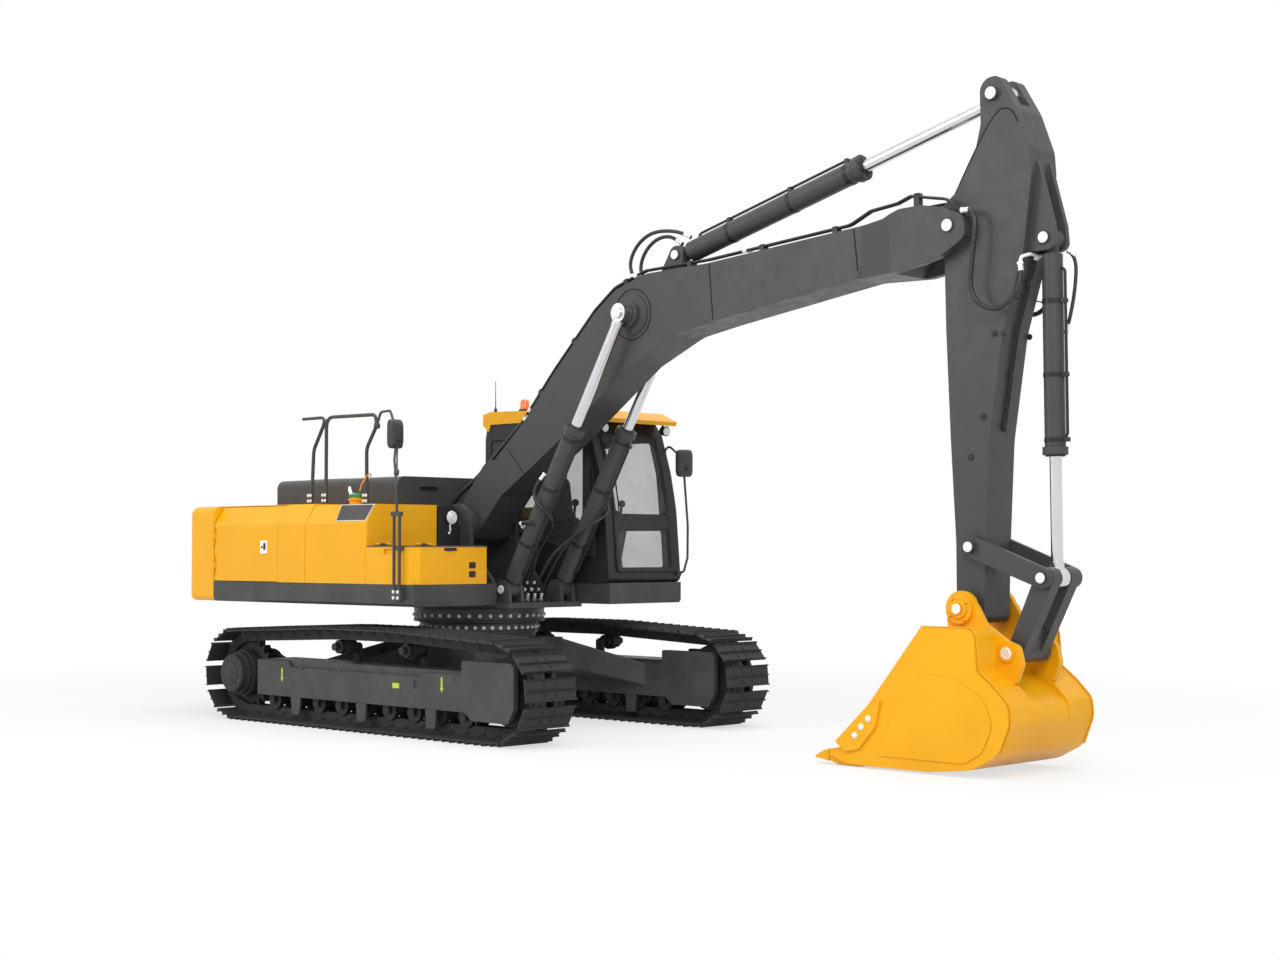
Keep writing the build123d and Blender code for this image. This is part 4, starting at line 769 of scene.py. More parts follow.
class EXC_OT_stage(bpy.types.Operator):
    """Camera at the photograph's place, soft lights, white surround and a pale floor"""

    bl_idname = "excavator.stage"
    bl_label = "Stage"

    def execute(self, context):
        settings = context.scene.exc_stage
        scene = context.scene
        scene.view_settings.view_transform = "Standard"
        data = bpy.data.cameras.new("camera")
        data.lens = settings.lens
        data.sensor_width = 36
        data.clip_end = 200
        camera = bpy.data.objects.new("camera", data)
        scene.collection.objects.link(camera)
        right = np.array([0.7159, 0.6982, 0.0])
        forward = np.array([-0.6978, 0.7154, 0.0363])
        up = np.array([0.0253, -0.0260, 0.9993])
        matrix = np.eye(4)
        matrix[:3, 0], matrix[:3, 1], matrix[:3, 2] = right, up, -forward
        matrix[:3, 3] = (14.671, -12.736, 1.716)
        camera.matrix_world = Matrix(matrix.tolist())
        scene.camera = camera
        self.world(scene, settings.sky)
        self.lamp(scene, "key", (13.0, -9.0, 12.0), (2.0, 0.0, 1.5), 9.0, settings.key)
        self.lamp(scene, "side", (-6.0, -15.0, 9.0), (0.0, 0.0, 1.0), 8.0, settings.key * 0.55)
        self.lamp(scene, "top", (2.0, 2.0, 15.0), (2.0, 0.0, 0.0), 9.0, settings.key * 0.7)
        self.floor(scene)
        return {"FINISHED"}

    def world(self, scene, strength):
        """White for rays that see it straight, by gloss or through glass, and an even light otherwise."""
        world = bpy.data.worlds.new("studio")
        scene.world = world
        world.use_nodes = True
        tree = world.node_tree
        tree.nodes.clear()
        output = tree.nodes.new("ShaderNodeOutputWorld")
        seen = tree.nodes.new("ShaderNodeBackground")
        even = tree.nodes.new("ShaderNodeBackground")
        set_inputs(seen, Color=(1, 1, 1, 1), Strength=1.0)
        set_inputs(even, Color=(1, 1, 1, 1), Strength=strength)
        tree.links.new(self.white_rays(tree, tree.nodes.new("ShaderNodeMixShader"), even, seen), output.inputs[0])

    def white_rays(self, tree, mix, plain, seen):
        """Mixes two shaders by whether the ray is a camera, glossy or transmission ray."""
        path = tree.nodes.new("ShaderNodeLightPath")
        first = tree.nodes.new("ShaderNodeMath")
        second = tree.nodes.new("ShaderNodeMath")
        first.operation = second.operation = "MAXIMUM"
        tree.links.new(path.outputs["Is Camera Ray"], first.inputs[0])
        tree.links.new(path.outputs["Is Transmission Ray"], first.inputs[1])
        tree.links.new(first.outputs[0], second.inputs[0])
        tree.links.new(path.outputs["Is Glossy Ray"], second.inputs[1])
        tree.links.new(second.outputs[0], mix.inputs[0])
        tree.links.new(plain.outputs[0], mix.inputs[1])
        tree.links.new(seen.outputs[0], mix.inputs[2])
        return mix.outputs[0]

    def lamp(self, scene, name, place, target, size, power):
        """A square soft light that faces a target."""
        data = bpy.data.lights.new(name, "AREA")
        data.size = size
        data.energy = power
        lamp = bpy.data.objects.new(name, data)
        scene.collection.objects.link(lamp)
        away = np.subtract(place, target)
        away = away / np.linalg.norm(away)
        across = np.cross((0, 0, 1), away)
        across = across / np.linalg.norm(across)
        matrix = np.eye(4)
        matrix[:3, 0], matrix[:3, 1], matrix[:3, 2] = across, np.cross(away, across), away
        matrix[:3, 3] = place
        lamp.matrix_world = Matrix(matrix.tolist())

    def floor(self, scene):
        """A pale floor that keeps the machine's shadow and is otherwise as white as the surround."""
        half = 60.0
        mesh = bpy.data.meshes.new("floor")
        mesh.from_pydata([(-half, -half, 0), (half, -half, 0), (half, half, 0), (-half, half, 0)], [], [(0, 1, 2, 3)])
        floor = bpy.data.objects.new("floor", mesh)
        scene.collection.objects.link(floor)
        material, tree, shader = node_material("floor_white")
        output = shader.outputs[0].links[0].to_node
        tree.nodes.remove(shader)
        matt = tree.nodes.new("ShaderNodeBsdfDiffuse")
        matt.inputs[0].default_value = (0.80, 0.80, 0.80, 1)
        glow = tree.nodes.new("ShaderNodeEmission")
        set_inputs(glow, Color=(1, 1, 1, 1), Strength=1.0)
        seen = tree.nodes.new("ShaderNodeMixShader")
        place = tree.nodes.new("ShaderNodeTexCoord")
        reach = tree.nodes.new("ShaderNodeVectorMath")
        reach.operation = "LENGTH"
        tree.links.new(place.outputs["Object"], reach.inputs[0])
        fade = tree.nodes.new("ShaderNodeMapRange")
        fade.inputs["From Min"].default_value = 5.0
        fade.inputs["From Max"].default_value = 11.0
        fade.inputs["To Min"].default_value = 0.62
        fade.inputs["To Max"].default_value = 1.0
        tree.links.new(reach.outputs["Value"], fade.inputs["Value"])
        tree.links.new(fade.outputs[0], seen.inputs[0])
        tree.links.new(matt.outputs[0], seen.inputs[1])
        tree.links.new(glow.outputs[0], seen.inputs[2])
        tree.links.new(self.white_rays(tree, tree.nodes.new("ShaderNodeMixShader"), matt, seen), output.inputs[0])
        mesh.materials.append(material)


class EXC_OT_hoses(bpy.types.Operator):
    """Rubber hoses across the joints, each on one NURBS line through given points, with crimped fittings at their ends
    """

    bl_idname = "excavator.hoses"
    bl_label = "Hoses"

    def execute(self, context):
        tip = [(6.012, 0.256, 4.368), (6.070, 0.262, 4.366), (6.125, 0.272, 4.345), (6.158, 0.282, 4.270),
               (6.152, 0.288, 4.160), (6.128, 0.290, 3.950), (6.104, 0.288, 3.780), (6.150, 0.284, 3.640),
               (6.290, 0.276, 3.560), (6.420, 0.258, 3.590), (6.500, 0.230, 3.690), (6.520, 0.204, 3.830),
               (6.500, 0.188, 3.920)]
        for side, word in ((-1, "right"), (1, "left")):
            route = [(x, side * y, z) for x, y, z in tip]
            self.hose(f"hose_arm_tip_{word}", route, 0.019, "boom", "arm")
            low = [(0.905, side * 0.162, 3.020), (0.830, side * 0.162, 2.965), (0.620, side * 0.166, 2.800),
                   (0.330, side * 0.172, 2.560), (0.100, side * 0.176, 2.390), (-0.100, side * 0.178, 2.270),
                   (-0.230, side * 0.178, 2.140), (-0.290, side * 0.178, 2.060), (-0.345, side * 0.178, 2.050)]
            self.hose(f"hose_boom_foot_{word}", low, 0.019, "boom", "upper")
        outer = [(2.300, -0.122, 4.186), (2.262, -0.122, 4.260), (2.235, -0.120, 4.370), (2.300, -0.112, 4.500),
                 (2.420, -0.104, 4.590), (2.560, -0.100, 4.622), (2.730, -0.090, 4.610), (2.850, -0.070, 4.580),
                 (2.940, -0.050, 4.532)]
        inner = [(2.345, -0.080, 4.196), (2.335, -0.080, 4.290), (2.350, -0.078, 4.390), (2.420, -0.072, 4.490),
                 (2.520, -0.066, 4.555), (2.640, -0.060, 4.575), (2.750, -0.056, 4.545), (2.835, -0.050, 4.482)]
        self.hose("hose_arm_cylinder_outer", outer, 0.017, "boom", "arm_cylinder")
        self.hose("hose_arm_cylinder_inner", inner, 0.017, "boom", "arm_cylinder")
        first = [(0.760, -0.135, 1.222), (0.780, -0.135, 1.340), (0.900, -0.140, 1.520), (1.020, -0.150, 1.690),
                 (1.190, -0.175, 1.860), (1.330, -0.235, 1.950), (1.420, -0.350, 2.030), (1.400, -0.440, 2.100),
                 (1.335, -0.472, 2.170), (1.315, -0.470, 2.270), (1.356, -0.445, 2.360), (1.412, -0.414, 2.434)]
        second = [(0.760, -0.045, 1.222), (0.780, -0.045, 1.350), (0.880, -0.070, 1.540), (0.980, -0.110, 1.690),
                  (1.130, -0.190, 1.830), (1.240, -0.310, 1.920), (1.260, -0.420, 1.965), (1.200, -0.472, 1.985),
                  (1.130, -0.462, 1.965), (1.110, -0.414, 1.929)]
        for side, word in ((1, "right"), (-1, "left")):
            body = f"boom_cylinder_{word}"
            self.hose(f"hose_{body}_rod", [(x, side * y, z) for x, y, z in first], 0.016, "upper", body)
            self.hose(f"hose_{body}_base", [(x, side * y, z) for x, y, z in second], 0.016, "upper", body)
        drop = [(6.730, 0.118, 4.016), (6.772, 0.124, 3.985), (6.800, 0.124, 3.900), (6.800, 0.112, 3.770),
                (6.790, 0.098, 3.640), (6.772, 0.084, 3.520), (6.752, 0.074, 3.430), (6.738, 0.070, 3.370)]
        self.hose("hose_bucket_cylinder", drop, 0.014, "arm", "bucket_cylinder")
        return {"FINISHED"}

    def hose(self, name, route, radius, first, second):
        """Sweeps a circle along the NURBS line through the given control points, with a fitting on each of the two
        bodies at its ends.
        """
        curve = bpy.data.curves.new(name + "_line", "CURVE")
        curve.dimensions = "3D"
        line = curve.splines.new("NURBS")
        line.points.add(len(route) - 1)
        line.points.foreach_set("co", np.c_[np.asarray(route), np.ones(len(route))].ravel())
        line.order_u = 3
        line.use_endpoint_u = True
        line.resolution_u = 8
        holder = bpy.data.objects.new(name + "_line", curve)
        mesh = bpy.data.meshes.new_from_object(holder)
        path = np.empty(len(mesh.vertices) * 3)
        mesh.vertices.foreach_get("co", path)
        path = path.reshape(-1, 3)
        bpy.data.objects.remove(holder)
        bpy.data.meshes.remove(mesh)
        piece = new_piece(name, along(path, radius, 14), None, "hose_rubber", 60)
        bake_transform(piece)
        step = path[1] - path[0]
        back = path[-2] - path[-1]
        crimp = fitting(0.075, radius * 0.95)
        new_piece(name + "_start", placed(crimp, standing(path[0], step)), first, "bright_steel")
        new_piece(name + "_end", placed(crimp, standing(path[-1], back)), second, "bright_steel")


class EXC_OT_finishes(bpy.types.Operator):
    """Gives every solid of the CAD model its paint, metal, glass, plastic or cloth"""

    bl_idname = "excavator.finishes"
    bl_label = "Finishes"

    def execute(self, context):
        for name, names in FINISHES.items():
            for node in names:
                mesh = NODES[node].data
                mesh.materials.clear()
                mesh.materials.append(finish(name))
        left = sorted(set(NODES) - {n for names in FINISHES.values() for n in names})
        if left:
            raise RuntimeError(f"solids without a finish: {left}")
        return {"FINISHED"}


class EXC_OT_seat(bpy.types.Operator):
    """Operator's seat: padded cushion, back and headrest, swelled as cloth, with piping"""

    bl_idname = "excavator.seat"
    bl_label = "Seat"

    def execute(self, context):
        pads = [
            self.pad("seat_cushion", (0.385, 0.97, 1.800), (0.49, 0.47, 0.105), 0.0, 0.012),
            self.pad("seat_back", (0.066, 0.97, 2.175), (0.110, 0.47, 0.60), 0.14, 0.014),
            self.pad("seat_headrest", (0.013, 0.97, 2.588), (0.090, 0.24, 0.165), 0.10, 0.009),
        ]
        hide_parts("seat")
        posts = together(*[rod((0.005, y, 2.45), (0.012, y, 2.54), 0.007) for y in (0.91, 1.03)])
        new_piece("seat_posts", posts, "upper", "bright_steel")
        turn = np.linspace(0, 2 * np.pi, 72, endpoint=False)
        c, s = np.cos(turn), np.sin(turn)
        loop = np.stack([0.385 + 0.246 * np.sign(c) * np.abs(c) ** 0.3, 0.97 + 0.236 * np.sign(s) * np.abs(s) ** 0.3,
                         np.full(72, 1.833)], -1)
        loop = np.concatenate([loop, loop[:1]])
        new_piece("seat_piping", along(loop, 0.0045, 8), "upper", "piping", 60)
        return {"FINISHED"}

    def pad(self, name, centre, size, lean, cap):
        """A superellipsoid block, remeshed and swelled by cloth pressure no further than a cap."""
        rows, columns = 24, 48
        u = np.linspace(-np.pi / 2, np.pi / 2, rows)[1:-1]
        v = np.linspace(0, 2 * np.pi, columns, endpoint=False)
        power = 0.28
        def soft(value):
            return np.sign(value) * np.abs(value) ** power
        x = size[0] / 2 * soft(np.cos(u))[:, None] * soft(np.cos(v))[None]
        y = size[1] / 2 * soft(np.cos(u))[:, None] * soft(np.sin(v))[None]
        z = size[2] / 2 * np.repeat(soft(np.sin(u))[:, None], columns, 1)
        rings = np.stack([x, y, z], -1)
        points, faces = closed_rings(rings)
        c, s = math.cos(-lean), math.sin(-lean)
        turned = points @ np.array([[c, 0, -s], [0, 1, 0], [s, 0, c]])
        piece = new_piece(name, (turned + np.asarray(centre), faces), None, "seat_cloth", 80)
        self.swell(piece, cap)
        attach(piece, "upper")
        return piece

    def swell(self, piece, cap):
        """Voxel remesh, cloth pressure without gravity for twenty frames, and each point kept within the cap."""
        scene = bpy.context.scene
        bpy.context.view_layer.objects.active = piece
        piece.select_set(True)
        remesh = piece.modifiers.new("remesh", "REMESH")
        remesh.mode = "VOXEL"
        remesh.voxel_size = 0.006
        bpy.ops.object.modifier_apply(modifier="remesh")
        count = len(piece.data.vertices)
        rest = np.empty(count * 3)
        piece.data.vertices.foreach_get("co", rest)
        cloth_modifier = piece.modifiers.new("cloth", "CLOTH")
        settings = cloth_modifier.settings
        settings.use_pressure = True
        settings.uniform_pressure_force = 4.0
        settings.effector_weights.gravity = 0.0
        settings.quality = 4
        cloth_modifier.point_cache.frame_start = 1
        cloth_modifier.point_cache.frame_end = 20
        for number in range(1, 21):
            scene.frame_set(number)
        bpy.ops.object.modifier_apply(modifier="cloth")
        scene.frame_set(1)
        swelled = np.empty(count * 3)
        piece.data.vertices.foreach_get("co", swelled)
        moved = (swelled - rest).reshape(-1, 3)
        far = np.linalg.norm(moved, axis=1, keepdims=True)
        moved *= np.minimum(1.0, cap / np.maximum(far, 1e-9))
        piece.data.vertices.foreach_set("co", (rest.reshape(-1, 3) + moved).ravel())
        piece.data.shade_smooth()
        piece.select_set(False)


class EXC_OT_bearing_bolts(bpy.types.Operator):
    """Two rows of bright bolt heads round the slew bearing"""

    bl_idname = "excavator.bearing_bolts"
    bl_label = "Bearing bolts"

    def execute(self, context):
        for node, body, count in (("slew_ring_upper", "upper", 40), ("slew_ring_lower", "undercarriage", 44)):
            low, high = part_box(node)
            radius = (high[0] - low[0]) / 2
            angles = np.linspace(0, 2 * np.pi, count, endpoint=False) + np.pi / count
            height = (low[2] + high[2]) / 2 - (0.01 if body == "upper" else 0.0)
            frames = [standing((radius * math.cos(a), radius * math.sin(a), height), (math.cos(a), math.sin(a), 0))
                      for a in angles]
            new_piece(f"{node}_bolts", placed(bolt(0.0135, 0.016), *frames), body, "zinc", 20)
            seal = lathe([(0, radius + 0.001), (0.006, radius + 0.006), (0.016, radius + 0.006),
                          (0.022, radius + 0.001)], 96)
            bands = [placed(seal, standing((0, 0, z), UP)) for z in (low[2] + 0.004, high[2] - 0.026)]
            new_piece(f"{node}_seals", together(*bands), body, "rail_grey")
        return {"FINISHED"}


class EXC_OT_pins(bpy.types.Operator):
    """Bright domed caps on the ends of the pins"""

    bl_idname = "excavator.pins"
    bl_label = "Pin caps"

    def execute(self, context):
        rows = {
            "boom": [(BOOM_TIP, 0.294, 0.048), (ARM_CYL_FOOT, 0.115, 0.042), (BOOM_CYL_EYE, 0.402, 0.047)],
            "arm": [(ARM_CYL_EYE, 0.209, 0.048), (BUCKET_CYL_FOOT, 0.125, 0.043), (ROCKER_PIN, 0.270, 0.040)],
            "rocker": [(LINK_PIN, 0.239, 0.040)],
            "bucket": [(BUCKET_LINK_PIN, 0.2985, 0.048), (BUCKET_PIN, 0.3425, 0.041)],
            "upper": [(BOOM_FOOT, 0.344, 0.048), (BOOM_CYL_FOOT, 0.448, 0.041)],
        }
        for body, pins in rows.items():
            caps = [placed(pin_cap(radius, 0.012), standing((pin[0], -y, pin[1]), RIGHT)) for pin, y, radius in pins]
            new_piece(f"{body}_pin_caps", both(together(*caps)), body, "zinc", 30)
        return {"FINISHED"}


class EXC_OT_cylinder_ends(bpy.types.Operator):
    """Gland bolts, wiper rings and hard lines of the hydraulic cylinders"""

    bl_idname = "excavator.cylinder_ends"
    bl_label = "Cylinder ends"

    def execute(self, context):
        rows = [
            ("arm_cylinder", ARM_CYL_FOOT, ARM_CYL_EYE, 0.0, 0.095, 0.052, 2.130, 1),
            ("bucket_cylinder", BUCKET_CYL_FOOT, LINK_PIN, 0.0, 0.080, 0.047, 1.660, 1),
            ("boom_cylinder_right", BOOM_CYL_FOOT, BOOM_CYL_EYE, -0.34, 0.085, 0.050, 1.780, -1),
            ("boom_cylinder_left", BOOM_CYL_FOOT, BOOM_CYL_EYE, 0.34, 0.085, 0.050, 1.780, -1),
        ]
        for body, foot, eye, y, barrel, rod_radius, length, over in rows:
            start = np.array([foot[0], y, foot[1]])
            axis = unit((eye[0] - foot[0], 0, eye[1] - foot[1]))
            top = start + axis * length
            side = np.cross(axis, (0, 1, 0)) * over
            gland = hoop(barrel + 0.006, barrel + 0.018, -0.062, -0.004)
            new_piece(f"{body}_gland_band", placed(gland, standing(top, axis)), body, "boom_grey")
            wiper = hoop(rod_radius + 0.003, rod_radius + 0.016, 0.0, 0.009)
            new_piece(f"{body}_wiper", placed(wiper, standing(top, axis)), body, "black_plastic")
            third = np.cross(axis, side)
            angles = np.linspace(0, 2 * np.pi, 8, endpoint=False) + 0.3
            heads = [standing(top + (barrel - 0.014) * (math.cos(a) * side + math.sin(a) * third), axis)
                     for a in angles]
            new_piece(f"{body}_gland_bolts", placed(bolt(0.009, 0.012), *heads), body, "bare_steel", 20)
            reach = barrel + 0.030
            line = [start + axis * 0.22 + side * (barrel - 0.01), start + axis * 0.25 + side * reach,
                    start + axis * (length - 0.16) + side * reach,
                    start + axis * (length - 0.10) + side * (barrel - 0.01)]
            pipe = bent(line, [0, 0.03, 0.03, 0], 0.012)
            clamps = []
            for share in (0.28, 0.62, 0.92):
                at = start + axis * (length * share)
                band = hoop(barrel - 0.004, barrel + 0.004, 0.0, 0.034)
                clamps.append(placed(band, standing(at, axis)))
                ear = brick(-0.017, 0.017, -0.026, 0.026, 0, 0.042, 0.004)
                frame = np.eye(4)
                frame[:3, 0], frame[:3, 1], frame[:3, 2] = axis, np.cross(side, axis), side
                frame[:3, 3] = at + axis * 0.017 + side * barrel
                clamps.append(placed(ear, frame))
            new_piece(f"{body}_line", together(pipe, *clamps), body, "pipe_grey")
        return {"FINISHED"}


class EXC_OT_panels(bpy.types.Operator):
    """Plates, latches, locks, filler, horn and handles of the body panels"""

    bl_idname = "excavator.panels"
    bl_label = "Body panels"

    def execute(self, context):
        low, high = np.array([0, -1.490, 1.967]), np.array([0, -1.370, 2.170])
        slope = unit(high - low)
        out = np.cross(FRONT, slope)
        frame = np.eye(4)
        frame[:3, 0], frame[:3, 1], frame[:3, 2], frame[:3, 3] = (1, 0, 0), slope, out, low + out * 0.0005
        edge = np.array([(-0.405, 0.030), (0.052, 0.030), (0.076, 0.214), (-0.437, 0.214)])
        border = together(placed(plate(edge, 0.004, 0.001), frame))
        new_piece("name_plate_rim", border, "upper", "zinc")
        new_piece("name_plate", placed(plate(inset(edge, 0.006), 0.006, 0.0015), frame), "upper", "hood_grey")
        panel = placed(plate(soft_rectangle(0.118, 0.132, 10), 0.006, 0.002),
                       standing((-1.580, -PANEL_SIDE, 1.745), RIGHT))
        new_piece("latch_plate", panel, "pump_door", "zinc")
        grip = placed(plate(soft_rectangle(0.034, 0.070, 8), 0.004, 0.001),
                      standing((-1.562, -PLATE_SIDE, 1.752), RIGHT))
        lock = placed(lathe([(0, 0.011), (0.006, 0.011), (0.007, 0.009)], 20),
                      standing((-1.605, -PLATE_SIDE, 1.745), RIGHT))
        new_piece("latch_grip", together(grip, lock), "pump_door", "black_plastic")
        left = placed(plate(soft_rectangle(0.118, 0.132, 10), 0.006, 0.002),
                      standing((-1.480, PANEL_SIDE, 1.745), LEFT))
        new_piece("latch_plate_left", left, "cooler_door", "zinc")
        grip = placed(plate(soft_rectangle(0.034, 0.070, 8), 0.004, 0.001), standing((-1.462, PLATE_SIDE, 1.752), LEFT))
        new_piece("latch_grip_left", grip, "cooler_door", "black_plastic")
        catches = []
        for z in (1.572, 1.488):
            catches.append(placed(plate(soft_rectangle(0.080, 0.058, 8), 0.006, 0.002),
                                  standing((TOOLBOX_FRONT, -0.790, z), FRONT)))
            catches.append(placed(plate(soft_rectangle(0.030, 0.030, 6), 0.012, 0.003),
                                  standing((TOOLBOX_FRONT, -0.775, z), FRONT)))
        new_piece("toolbox_catches", together(*catches), "upper", "black_plastic")
        pull = placed(plate(soft_rectangle(0.150, 0.030, 5), 0.010, 0.003),
                      standing((TOOLBOX_FRONT, -1.060, 1.722), FRONT))
        new_piece("toolbox_pull", pull, "upper", "black_plastic")
        ring = placed(lathe([(0, 0.074), (0.008, 0.078), (0.016, 0.074)], 40), standing((-0.640, -1.060, 2.204), UP))
        new_piece("filler_collar", ring, "upper", "panel_yellow")
        flap = together(
            placed(plate(soft_rectangle(0.030, 0.085, 4), 0.006, 0.001),
                   standing((-0.665, -1.110, 2.300), (0.3, -0.9, 0.2), 0.3)),
            rod((-0.640, -1.060, 2.262), (-0.662, -1.100, 2.285), 0.006))
        new_piece("filler_key", flap, "upper", "bright_steel")
        turns = np.linspace(0, 2 * np.pi, 30, endpoint=False)
        grips = [standing((-0.640 + 0.067 * math.cos(a), -1.060 + 0.067 * math.sin(a), 2.240),
                          (math.cos(a), math.sin(a), 0))
                 for a in turns]
        new_piece("filler_ribs", placed(plate(soft_rectangle(0.005, 0.024, 4, 10), 0.003), *grips), "upper",
                  "cap_green")
        # The handle's recess is a near-black plate: painted shade inside the grey rim.
        recess_shade = placed(plate(soft_rectangle(0.250, 0.040, 3), 0.004, 0.001), standing((-0.3692, -0.360, 2.335), FRONT))
        rim = placed(plate(soft_rectangle(0.274, 0.062, 3), 0.003, 0.001), standing((-0.3698, -0.360, 2.335), FRONT))
        new_piece("hood_handle_rim", rim, "hood", "hood_grey")
        new_piece("hood_handle", recess_shade, "hood", "painted_shade_black")
        self.bulkhead()
        self.vents()
        return {"FINISHED"}

    def bulkhead(self):
        """Black panel ahead of the tank that carries the horn."""
        face = rounded_line([(0.335, 1.398), (0.605, 1.398), (0.605, 2.152), (0.335, 2.152)], [0.01, 0.01, 0.02, 0.15])
        new_piece("bulkhead", placed(plate(face, 0.030, 0.004), standing_left_to_right(0.050)), "upper",
                  "cab_dark")
        horn = [(0, 0.018), (0.020, 0.022), (0.030, 0.060), (0.036, 0.066), (0.042, 0.062), (0.040, 0.050),
                (0.046, 0.046), (0.046, 0.036), (0.040, 0.032), (0.050, 0.024), (0.050, 0.010)]
        at = standing((0.080, -0.460, 2.035), FRONT)
        new_piece("horn", placed(lathe(horn, 40), at), "upper", "zinc", 30)
        stem = together(rod((0.086, -0.460, 1.975), (0.086, -0.455, 1.900), 0.012),
                        placed(bolt(0.012, 0.012), standing((0.0805, -0.462, 1.882), FRONT)))
        new_piece("horn_stem", stem, "upper", "bright_steel")

    def vents(self):
        """Louvres of the cooler door and the hood: slats pressed out in rows, near-black as painted shade of the
        openings behind them.
        """
        slat = plate(soft_rectangle(0.300, 0.020, 8, 24), 0.010, 0.004)
        rows = [standing((x, PANEL_SIDE, z), LEFT, 0) for x in (-2.10, -1.74) for z in np.linspace(1.52, 1.88, 10)]
        new_piece("cooler_louvres", placed(slat, *rows), "cooler_door", "painted_shade_black")
        slat = plate(soft_rectangle(0.018, 0.260, 8, 24), 0.008, 0.003)
        rows = [standing((x, y, HOOD_TOP), UP) for y in (-0.45, -0.10, 0.22) for x in np.linspace(-2.05, -1.45, 12)]
        slots = [frame @ turned_quarter() for frame in rows]
        new_piece("hood_louvres", placed(slat, *slots), "hood", "painted_shade_black")


class EXC_OT_rails(bpy.types.Operator):
    """Handrails, grab rails and mirrors, with their bolted feet"""

    bl_idname = "excavator.rails"
    bl_label = "Rails and mirrors"

    def execute(self, context):
        y, z, top = -1.200, PANEL_TOP, 3.035
        tubes = [
            bent([(-1.180, y, z), (-1.148, y, 2.716), (-0.960, y, 3.000)], [0, 0.16, 0], 0.018),
            bent([(-0.968, y, 2.960), (-0.990, y, top), (-1.330, y, top)], [0, 0.05, 0], 0.016),
            bent([(-0.940, y, z), (-0.940, y, top), (-0.150, y, top - 0.010), (-0.130, y, 2.900)],
                 [0, 0.11, 0.07, 0], 0.018),
            bent([(-0.280, y, z), (-0.290, y, 2.700), (-0.128, y, 2.926)], [0, 0.16, 0], 0.018),
        ]
        feet, heads = [], []
        for x in (-1.180, -0.940, -0.280):
            low = z - (0.015 if x > -0.5 else 0.0)
            feet.append(brick(x - 0.045, x + 0.045, y - 0.040, y + 0.040, low, low + 0.008, 0.002))
            feet.append(brick(x - 0.036, x + 0.036, y - 0.026, y - 0.016, low + 0.004, low + 0.120, 0.002))
            heads += [standing((x + dx, y - 0.026, low + dz), RIGHT) for dx in (-0.020, 0.020) for dz in (0.035, 0.090)]
        collars = [placed(lathe([(-0.026, 0.026), (-0.020, 0.031), (0.020, 0.031), (0.026, 0.026)], 24),
                          standing(place, axis)) for place, axis in
                   (((-0.953, y, 2.985), (0.55, 0, 0.83)), ((-0.130, y, 2.915), (0.1, 0, 1)))]
        new_piece("handrails", together(*tubes, *feet, *collars), "upper", "rail_grey", 50)
        wall = -1.532
        grabs = [rod((x, wall, 1.250), (x, wall, 2.060), 0.0145, 18) for x in (0.560, 0.640)]
        grabs.append(brick(0.530, 0.670, wall - 0.018, wall + 0.018, 2.030, 2.072, 0.004))
        grabs.append(brick(0.530, 0.670, wall - 0.012, -PANEL_SIDE, 1.250, 1.350, 0.003))
        grabs.append(brick(0.540, 0.660, wall, -PANEL_SIDE, 1.716, 1.740, 0.002))
        new_piece("grab_rails", together(*grabs), "upper", "rail_grey", 50)
        heads += [standing((x, wall - 0.012, h), RIGHT) for x in (0.568, 0.632) for h in (1.272, 1.328)]
        new_piece("rail_bolts", placed(bolt(0.0125, 0.012), *heads), "upper", "zinc", 20)
        stay = [
            bent([(-0.130, y, 2.915), (-0.060, y - 0.01, 3.045), (0.150, y - 0.06, 3.045), (0.320, y - 0.14, 2.900)],
                 [0, 0.07, 0.07, 0], 0.013),
            bent([(0.352, y - 0.150, 2.700), (0.430, y - 0.230, 2.560), (0.590, wall, 2.330), (0.600, wall, 2.060)],
                 [0, 0.05, 0.08, 0], 0.012),
            bent([(0.378, y - 0.150, 2.700), (0.452, y - 0.215, 2.580), (0.520, y - 0.270, 2.450)], [0, 0.05, 0],
                 0.008),
            placed(lathe([(-0.03, 0.020), (-0.024, 0.025), (0.024, 0.025), (0.03, 0.020)], 20),
                   standing((0.516, y - 0.272, 2.440), (0.5, -0.45, -0.75))),
        ]
        new_piece("mirror_right_stay", together(*stay), "upper", "rail_grey", 50)
        self.mirror("mirror_right", (0.352, y - 0.150, 2.810), (1.0, 0.12, 0.0))
        loop = [(1.380, 1.450, 1.480), (1.440, 1.462, 1.500), (1.455, 1.500, 1.640), (1.452, 1.508, 1.960),
                (1.400, 1.508, 2.500), (1.300, 1.508, 2.700), (1.200, 1.500, 2.775), (1.125, 1.497, 2.715)]
        tube = bent(loop, [0, 0.03, 0.06, 0.3, 0.2, 0.1, 0.05, 0], 0.0115)
        feet = [brick(1.3735, 1.394, 1.425, 1.475, 1.455, 1.505, 0.003),
                brick(1.105, 1.150, PANEL_SIDE, 1.512, 2.690, 2.735, 0.003)]
        clips = [rod((1.413, 1.508, z), (1.432, 1.490, z), 0.010) for z in (2.52, 2.66)]
        new_piece("mirror_left_stay", together(tube, *feet, *clips), "upper", "rail_grey", 50)
        self.mirror("mirror_left", (1.440, 1.476, 2.590), (1.0, -0.25, 0.0))
        band = np.linspace(0, 2 * np.pi, 40)
        tag = np.stack([-0.262 + 0.027 * np.cos(band), np.full(40, y) + 0.027 * np.sin(band),
                        2.420 + 0.035 * np.cos(band)], -1)
        tail = spline([(-0.290, y - 0.026, 2.395), (-0.320, y - 0.034, 2.350), (-0.345, y - 0.036, 2.290)], 14)
        new_piece("rail_tag", together(along(tag, 0.006, 8), along(tail, 0.008, 8)), "upper", "tag_orange", 60)
        return {"FINISHED"}

